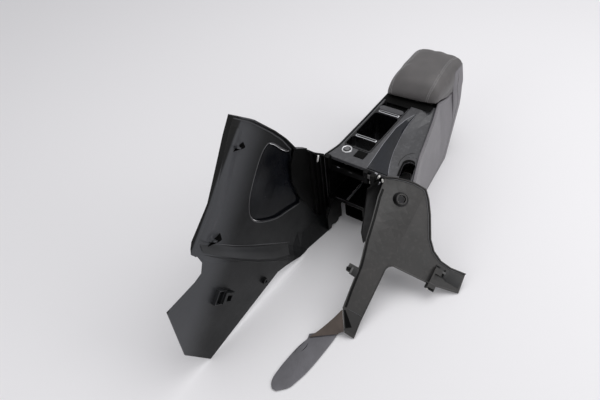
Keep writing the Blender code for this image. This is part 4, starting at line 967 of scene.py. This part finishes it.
def leftFlat(points):
    # The same flat drawing's place of points given as (y, z)
    return [(((z - 240) / diagonal - y / diagonal) / 2, ((z - 240) / diagonal + y / diagonal) / 2) for y, z in points]


lip = leftTrim["lipWidthMm"]
lipAcross = [(0.6 + (lip - 1.4) * t, 0.4 + leftTrim["lipRiseMm"] * math.sin(math.pi * t))
             for t in np.linspace(0.0, 1.0, 14)]
borderAcross = [(lip + leftTrim["borderWidthMm"] * t, 0.15 + leftTrim["borderBowMm"] * math.sin(math.pi * t) ** 2)
                for t in np.linspace(0.0, 1.0, 13)]
# The side lip's black ribbon is painted shade on the edge's turned flange
ribbonOn(leftFace, "leftPanelSideLipShade", leftTrim["edge"], 7.0, 1, lipAcross, deepBlackAndShade)
ribbonOn(leftFace, "leftPanelBorder", leftTrim["border"], 7.0, 1, borderAcross, panelCharcoal)
ribbonOn(leftFace, "leftPanelTopLip", leftTrim["top"], 7.0, 1, leftTrim["topLip"], paleRimHighlight)

ledgeTop, ledgeFoot = leftFlat(leftTrim["ledgeTop"]), leftFlat(leftTrim["ledgeFoot"])
# A pale bead as painted highlight on the ledge's top edge and a black bead as painted shadow under it
tube("leftLedgeTopHighlight", lineOn(leftFace, ledgeTop, 6.0, 0.0), 0.8, paleRimHighlight, thin=0.08)
tube("leftLedgeFootShadow", lineOn(leftFace, ledgeFoot, 6.0, 0.0), 1.1, blackPartAndShade, thin=0.08)

# The pocket's outline: its corners are cut twice, then it is drawn a little larger
outline = [Vector((r, s, 0)) for r, s in leftTrim["pocket"]]
for _ in range(2):
    cut = [outline[0]]
    for a, b in zip(outline, outline[1:]):
        cut += [a.lerp(b, 0.25), a.lerp(b, 0.75)]
    outline = cut + [outline[-1]]
centreR, centreS = leftTrim["pocketMiddle"]
grows = leftTrim["pocketGrows"]
rimLine = [(centreR + (p.x - centreR) * grows, centreS + (p.y - centreS) * grows) for p in outline]
# The pocket's pale rim is a painted highlight
tube("leftPocketRim", lineOn(leftFace, rimLine, 5.0, 0.0), 1.3, paleRimHighlight, thin=0.05)

# The fins are deep black: their dark plastic darkened further as painted shade
for finName, (start, end) in leftTrim["fins"].items():
    a, b = leftFace(*start, 1.0), leftFace(*end, 1.0)
    side = (b - a).cross(Vector((1, 0, 0))).normalized() * leftTrim["finHalf"]
    rows = []
    for t in np.linspace(0.0, 1.0, 9):
        root = a.lerp(b, float(t)) - Vector((leftTrim["finRoot"], 0, 0))
        rise = leftTrim["finRoot"] + leftTrim["finRise"] * between(t, (0, 0.7, 1), (0, 1, 0))
        crest = root + Vector((rise, 0, 0))
        rows.append([root - side, crest - side * 0.5, crest + side * 0.5, root + side])
    addPiece(finName, loftMesh(finName, rows, closed=True, capped=True), deepBlackAndShade, smooth=False)
print("left panel trimmed")


# Right knee panel: painted shade along its folded edge, painted highlights on its outer rim and boss foot, inner rims

rightTrim = {
    "fold": ((9.5, -20), (10.5, -46), (20, -112), (27, -167), (42, -232), (48, -300), (54, -344)),
    "foldAcross": ((0.6, 0.2), (1.6, 1.3), (3.25, 1.7), (5.0, 1.0), (6.5, 0.2)),
    "outer": ((12, 12), (28, 19.5), (52, 25), (77, 27), (103, 24.5), (121.5, 5.5), (143, -28), (174, -86),
              (197, -109.5), (227, -123.5), (261, -126.5), (303, -121)),
    "finger": ((118, -190), (108, -198), (104.5, -211), (106, -250), (106.5, -300), (106.5, -352), (110, -398)),
    "tail": ((120, -191.5), (180, -188), (236, -184.5), (306, -168.5)),
    "crease": ((64, -345), (84, -344.5), (108, -345.5)),
    "bossAt": (62.0, -26.0),
    "bossFootMm": 15.5,
    "skirtMm": (20.0, 14.2),
}
rightFrame = Matrix(((0.809, 0.0, 0.588, 0.112), (0.264, 0.893, -0.363, -0.0092), (-0.525, 0.449, 0.7226, 0.2423),
                     (0, 0, 0, 1)))
rightShift = Vector((0, -deckStartMm / 1000, 0))
rightSkin = skinOf(nodes["right_wing"])


def rightFace(u, v, liftMm):
    # From the panel's own flat drawing to the face that the photo shows
    start = rightFrame @ Vector((u / 1000, v / 1000, 0.08)) + rightShift
    return placeOn(rightSkin, start, -rightFrame.col[2].xyz, liftMm)


def roundBoss(radiusMm, degrees, lift):
    angle = math.radians(degrees)
    u, v = rightTrim["bossAt"]
    return rightFace(u + radiusMm * math.cos(angle), v + radiusMm * math.sin(angle), lift)


# The folded edge's black ribbon is painted shade
ribbonOn(rightFace, "rightPanelFoldShade", rightTrim["fold"], 6.0, -1, rightTrim["foldAcross"], frameBlack)
tube("rightPanelOuterRim", lineOn(rightFace, rightTrim["outer"], 5.0, 0.4), 1.5, paleRimHighlight, thin=0.04)
bossFoot = [roundBoss(rightTrim["bossFootMm"], degrees, 0.3) for degrees in range(0, 360, 12)]
tube("rightBossFoot", bossFoot, 1.3, greyRimAndHighlight, closed=True)
tube("rightFingerInnerRim", lineOn(rightFace, rightTrim["finger"], 6.0, 0.2), 0.8, blackPartAndShade, thin=0.05)
tube("rightTailLowerRim", lineOn(rightFace, rightTrim["tail"], 6.0, 0.2), 0.8, greyRimAndHighlight, thin=0.05)
print("right panel trimmed")


# Right panel's loose skin: its backing shows where it hangs from the finger, then it folds over and lies face up

flap = {
    "across": 13,
    "hangs": 12,
    "lies": 24,
    "backLeft": ((153.5, -308, 56), (144, -326, 41), (131, -349, 25), (118, -374, 13), (106, -395, 7.5)),
    "backRight": ((177, -343, 17), (173, -345, 15), (170, -346, 12), (167, -347, 9.5), (164, -349, 7.8)),
    "backBulgeMm": ((0, 4, 11), (1.0, 6.0, 1.0)),
    "faceLeft": ((104, -399, 2.6), (97, -428, 2.2), (94, -455, 2.0), (92, -492, 2.0), (93, -530, 2.4),
                 (98, -547, 2.6), (109, -558, 2.6)),
    "faceRight": ((162, -351, 2.6), (163, -374, 2.4), (162, -402, 2.2), (161, -431, 2.2), (159, -460, 2.2),
                  (156, -488, 2.4), (145, -535, 2.8), (122, -559, 2.8)),
    "faceBulgeMm": ((0, 3, 23), (0.0, 1.6, 0.6)),
    "foldWay": (0.63, -0.78, 0),
    "fold": ((0.0018, -0.0012), (0.0008, -0.0030), (-0.0100, -0.0034), (-0.0112, -0.0048)),
    "thickMm": 1.1,
    "lowest": 0.0004,
    "creases": {"A": ((103, -409), (98, -424), (97, -440), (101, -452)), "B": ((113, -409), (115, -424), (112, -440))},
}


def flapRows(leftEdge, rightEdge, count, bulges):
    # Rows from one edge of the sheet to the other, raised in the middle
    rows = []
    edges = [evenly(drawn(edge), count=count) for edge in (leftEdge, rightEdge)]
    for i, (left, right) in enumerate(zip(*edges)):
        bulge = between(i, *bulges)
        row = []
        for k in range(flap["across"]):
            share = k / (flap["across"] - 1)
            point = left.lerp(right, share)
            point.z += bulge / 1000 * math.sin(math.pi * share)
            row.append(point)
        rows.append(row)
    return rows


hanging = flapRows(flap["backLeft"], flap["backRight"], flap["hangs"], flap["backBulgeMm"])
lying = flapRows(flap["faceLeft"], flap["faceRight"], flap["lies"], flap["faceBulgeMm"])
foldWay = Vector(flap["foldWay"]).normalized()
folded = [[point + foldWay * run + Vector((0, 0, drop)) for point in hanging[-1]] for run, drop in flap["fold"]]
sheetRows = hanging + folded + lying
sheetMesh = loftMesh("looseSkinSheet", sheetRows)
flapSheet = addPiece("looseSkinSheet", sheetMesh, flapBack)
sheetMesh.materials.append(flapFace)
for index, face in enumerate(sheetMesh.polygons):
    face.material_index = 0 if index < (len(hanging) + 1) * (flap["across"] - 1) else 1
walled(flapSheet, flap["thickMm"], 0.0)
refined(flapSheet)
edged(applied(flapSheet), 60)
for vert in flapSheet.data.vertices:
    vert.co.z = max(vert.co.z, flap["lowest"])
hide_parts("right_wing_flap")
faceSkin = skinOf(flapSheet)
# Crease lines in deep black are painted shade in the loose skin's folds
for label, pairs in flap["creases"].items():
    tube("looseSkinCrease" + label, evenly(dropped(faceSkin, pairs, -0.0001), 2.0), 0.75, deepBlackAndShade, thin=0.3)
foldShade = [point + Vector((0, 0, -0.0016)) + foldWay * 0.0014 for point in hanging[-1]]
tube("looseSkinFoldShade", foldShade, 0.5, seamShade, thin=0.1)


# Right panel's clips: the bracket near the tail and, further on, the barbed tab on the finger

def rightParts(parts):
    # Moulded blocks between two corners in the panel's own frame
    placing = Matrix.Translation(rightShift) @ rightFrame
    for name, (low, high, roundMm, finish, degrees) in parts.items():
        turn = Matrix.Rotation(math.radians(degrees), 4, "Z")
        mesh = blockMesh(name, Vector(low) / 1000, Vector(high) / 1000, roundMm, turn, placing)
        addPiece(name, mesh, finish)
        edged(mesh, 40)


rightParts({
    "tailClipHookPlate": ((224, -156, 0.3), (262, -132, 3.0), 0.8, blackPartAndShade, 0),
    "tailClipHookRidge": ((226, -153, 2.6), (233, -135, 9.5), 1.0, frameBlack, 0),
    "tailClipHookWall": ((250, -154, 2.6), (255, -134, 8.0), 1.0, blackPartAndShade, 0),
    "tailClipHookRoof": ((231, -147, 6.8), (253, -141, 8.6), 0.8, greyRimAndHighlight, 0),
    "tailClipLowerPlate": ((219, -201, -1.5), (247, -160, 2.2), 0.9, blackPartAndShade, 0),
    "tailClipLowerRidge": ((222, -197, 1.8), (227, -163, 7.0), 1.0, greyRimAndHighlight, 0),
    "tailClipLowerHook": ((232, -199, 1.8), (244, -189, 6.5), 1.2, frameBlack, 0),
    "tailClipChip": ((225, -204, 0.5), (229, -199, 3.5), 0.6, stressWhite, 0),
    # A black film as painted shade in the recess at the tail's end
    "tailEndRecessShade": ((262, -160, 0.2), (304, -129, 0.9), 0.3, blackPartAndShade, 0),
})
print("right panel clips made")


# Front corner of the deck: broken clips, stress-whitened stubs and small bright chips, the silver ones painted
# highlights, each turned by some degrees

chipAxis = Vector((0.3, 1, 0.4))
chips = {
    "cornerStub": ((66, 2, 226), (74, 9, 231), 18, silverHighlight),
    "cornerStubLow": ((72, -4, 216), (78, 6, 223), -24, blackPartAndShade),
    "cornerTooth": ((79, -2, 222), (84, 4, 232), 35, stressWhite),
    "cornerShard": ((88, 4, 208), (91, 9, 217), -15, stressWhite),
    "cornerHook": ((60, -10, 214), (66, -3, 222), 10, blackPartAndShade),
    "cornerBright": ((84, -6, 205), (87, -2, 214), 28, silverHighlight),
    "railChipOne": ((53, -9, 203), (55, -6, 212), 8, stressWhite),
    "railChipTwo": ((58, -9, 200), (60, -6, 208), -12, stressWhite),
    "leftStress": ((-80.5, -49, 249), (-77.0, -45, 274), 16, slitWhite),
    "leftCornerChip": ((-84, -6, 234), (-78, -1, 239), 20, stressWhite),
    "leftCornerChipLow": ((-80, -9, 226), (-76, -5, 232), -20, silverHighlight),
    "railGlintOne": ((-46, -8, 214), (-38, -6, 216), 0, silverHighlight),
    "railGlintTwo": ((-8, -8, 211), (2, -6, 213), 0, paleRimHighlight),
}
for chipName, (low, high, degrees, finish) in chips.items():
    roundedBox(chipName, low, high, 0.5, finish, Matrix.Rotation(math.radians(degrees), 4, chipAxis))


# Front frame: painted highlights as pale lines on its ribs, a rim along its top and the mouth's light edges

frameLines = {
    "frameRibGlint": ([(-77.3, -20.0, 246), (-77.3, -20.0, 96)], 0.5, paleRimHighlight),
    "frameRibGlintTwo": ([(-77.3, -38.0, 262), (-77.3, -38.0, 110)], 0.45, blackPartAndShade),
    "frameTopRim": ([(-88, -92, 324.5), (-88, -112, 339), (-88, -129, 352)], 2.0, greyRimAndHighlight),
    "ductMouthTop": ([(-30, -4.8, 79.6), (0, -4.8, 79.6), (30, -4.8, 79.6)], 0.7, greyRimAndHighlight),
    "ductMouthSide": ([(31.2, -4.6, 79), (31.2, -4.6, 58), (31.2, -4.6, 34)], 0.7, greyRimAndHighlight),
    "sillEdge": ([(-60, -6.4, 92.6), (0, -6.4, 92.6), (78, -6.4, 92.6)], 0.6, paleRimHighlight),
}
for lineName, (line, radius, finish) in frameLines.items():
    tube(lineName, evenly(drawn(line), 6.0), radius, finish)
print("front frame trimmed")


# Right panel's torn end in painted shade: a painted shadow at its corner, darker skin past the crease and a painted
# highlight on the crease; then the skirt of its boss and the tab on its finger

patches = {
    "fingerCornerShadow": (((56.5, -352), (60, -350), (95, -381), (81, -390)), 0.6, deepBlackAndShade),
    "fingerEndShade": (((66, -348), (106, -348), (108, -392), (84, -394)), 0.35, shadedEndWarm),
}
shares = [step / 8 for step in range(9)]
for patchName, (corners, lift, finish) in patches.items():
    # Four corners in the panel's drawing, laid on the panel as one thin skin
    rows = []
    for a in shares:
        flat = [[(1 - a) * ((1 - b) * p + b * q) + a * ((1 - b) * s + b * r) for p, q, r, s in zip(*corners)]
                for b in shares]
        rows.append([rightFace(u, v, lift) for u, v in flat])
    loftPiece(patchName, rows, finish)
tube("fingerEndCrease", lineOn(rightFace, rightTrim["crease"], 3.0, 0.5), 0.7, paleRimHighlight, thin=0.1)

skirtRows = []
for degrees in range(0, 361, 15):
    foot, top = (roundBoss(radius, degrees, lift) for radius, lift in zip(rightTrim["skirtMm"], (0.1, 0.4)))
    skirtRows.append([foot, foot.lerp(top, 0.35), foot.lerp(top, 0.75), top])
loftPiece("rightBossSkirt", skirtRows, blackPartAndShade)
rightParts({
    "fingerTabBlock": ((26, -266, -4.5), (47, -246, 0.8), 1.4, blackPartAndShade, -4.0),
    "fingerTabNose": ((13, -259, -4.0), (30, -250, -0.4), 1.2, frameBlack, 8.0),
    "fingerTabRidge": ((24, -264, 0.4), (29, -247, 3.6), 0.9, greyRimAndHighlight, 0),
})


# Handbrake slot: a black sheet of painted shade between the deck's edge and the hole, widening the hole's dark well

slotShade = {
    "line": ((110, 48), (105, 67), (102, 84), (99, 103), (103, 112), (110, 117), (120, 118), (128, 116), (135, 106),
             (139, 94)),
    "holeX": 123.0,
    "holeY": 92.0,
    "fallAtHole": 0.003,
    "lift": 0.0004,
}


def slotStrip(x, y):
    # From the painted shade's outer edge inwards over the deck, as far as the hole
    holeX, holeY, places = slotShade["holeX"], min(y, slotShade["holeY"]), []
    for share in np.linspace(0, 1, 40):
        found = dropped(deckSkin, [(x + (holeX - x) * share, y + (holeY - y) * share)])
        if not found or (places and found[0].z < places[0].z - slotShade["fallAtHole"]):
            break
        places.append(found[0] + Vector((0, 0, slotShade["lift"])))
    return places


slotShadeRows = []
for point in evenly([mm(x, y, 0) for x, y in slotShade["line"]], 3.0):
    places = slotStrip(point.x * 1000, point.y * 1000 + deckStartMm)
    if len(places) > 3:
        marks = np.linspace(0, len(places) - 1, 5).astype(int)
        slotShadeRows.append([places[mark] for mark in marks])
loftPiece("handbrakeSlotShade", slotShadeRows, deepBlackAndShade)
tube("handbrakeSlotEdge", [row[0] for row in slotShadeRows], 0.7, blackPartAndShade)
print("slot gasket rows", len(slotShadeRows))


# Left panel's ledge between its two beads, painted lighter as a painted highlight where it faces up, and the small
# plate on the frame's rail

ledgeAcross = ((0.12, 0.2), (0.35, 1.2), (0.6, 1.6), (0.85, 0.3))
ledgeRows = []
for a, b in zip(flatLine(ledgeTop, 8.0), flatLine(ledgeFoot, 8.0)):
    spots = [(a.lerp(b, share) * 1000, rise) for share, rise in ledgeAcross]
    row = [leftFace(spot.x, spot.y, rise) for spot, rise in spots]
    if all(place is not None for place in row):
        ledgeRows.append(row)
loftPiece("leftLedgeFace", ledgeRows, ledgeLitPlastic)
print("ledge rows", len(ledgeRows))

plateRows = (((47, -15.5, 238), (60, -13.5, 236), (73, -11.5, 233.5)),
             ((48.5, -18, 226), (61, -16, 224), (74.5, -14, 221.5)))
plate = loftPiece("railPlate", [drawn(row) for row in plateRows], greyRimAndHighlight)
walled(plate, 1.0)
applied(plate)
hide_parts("retainer_plate")


# Studio

studio = {
    "floorSize": 9.0,
    "floorHeight": -0.0006,
    "floorTone": "EAE9EB",
    "skyTone": "F6F6F8",
    "skyStrength": 0.62,
    "lamps": {      # where it hangs, what it is aimed at, size and power
        "topSoftbox": ((0.5, 0.6, 2.6), (0.0, -0.1, 0.1), 2.4, 34.0),
        "rightFill": ((2.6, 0.2, 1.5), (0.1, 0.0, 0.15), 1.6, 16.0),
        "leftFill": ((-0.6, -2.6, 1.6), (-0.1, -0.5, 0.2), 1.4, 7.0),
    },
}


def paintedFloor(name, tone):
    # Matte studio paint with a faint roller texture
    made, tree, shader, place = newMaterial(name, 0.9)
    shader.inputs["Base Color"].default_value = hexLinear(tone)
    bumped(tree, shader, noise(tree, place, 1000 / 240, 2.0), 0.15, 0.4)
    return made


half, height = studio["floorSize"] / 2, studio["floorHeight"]
corners = [(x * half, y * half, height) for x, y in ((-1, -1), (1, -1), (1, 1), (-1, 1))]
floorMesh = bpy.data.meshes.new("studioFloor")
floorMesh.from_pydata(corners, [], [(0, 1, 2, 3)])
floor = addPiece("studioFloor", floorMesh, paintedFloor("palePaintedFloor", studio["floorTone"]), body=None)

world = bpy.data.worlds.new("studioAir")
bpy.context.scene.world = world
world.use_nodes = True
skyNode = world.node_tree.nodes["Background"]
skyNode.inputs["Color"].default_value = hexLinear(studio["skyTone"])
skyNode.inputs["Strength"].default_value = studio["skyStrength"]

for lampName, (spot, aim, size, power) in studio["lamps"].items():
    lampData = bpy.data.lights.new(lampName, "AREA")
    lampData.shape = "SQUARE"
    lampData.size = size
    lampData.energy = power
    lamp = linked(lampName, lampData)
    lamp.location = spot
    lamp.rotation_euler = (Vector(aim) - Vector(spot)).to_track_quat("-Z", "Y").to_euler()

view = {"azimuth": 41.0, "pitch": 43.7, "roll": 8.1, "place": (0.689, -1.327, 1.306), "lens": 36.0, "sensor": 36.0,
        "near": 0.05}
azimuth, pitch, roll = (math.radians(view[key]) for key in ("azimuth", "pitch", "roll"))
ahead = Vector((-math.sin(azimuth) * math.cos(pitch), math.cos(azimuth) * math.cos(pitch), -math.sin(pitch)))
level = Vector((math.cos(azimuth), math.sin(azimuth), 0.0))
below = ahead.cross(level)
rightward = level * math.cos(roll) + below * math.sin(roll)
downward = below * math.cos(roll) - level * math.sin(roll)
cameraData = bpy.data.cameras.new("photoCamera")
cameraData.lens = view["lens"]
cameraData.sensor_width = view["sensor"]
cameraData.clip_start = view["near"]
camera = linked("photoCamera", cameraData)
turn = Matrix((rightward, -downward, -ahead)).transposed().to_4x4()
camera.matrix_world = Matrix.Translation(view["place"]) @ turn
bpy.context.scene.camera = camera
bpy.context.scene.view_settings.view_transform = "Standard"
print("studio set")
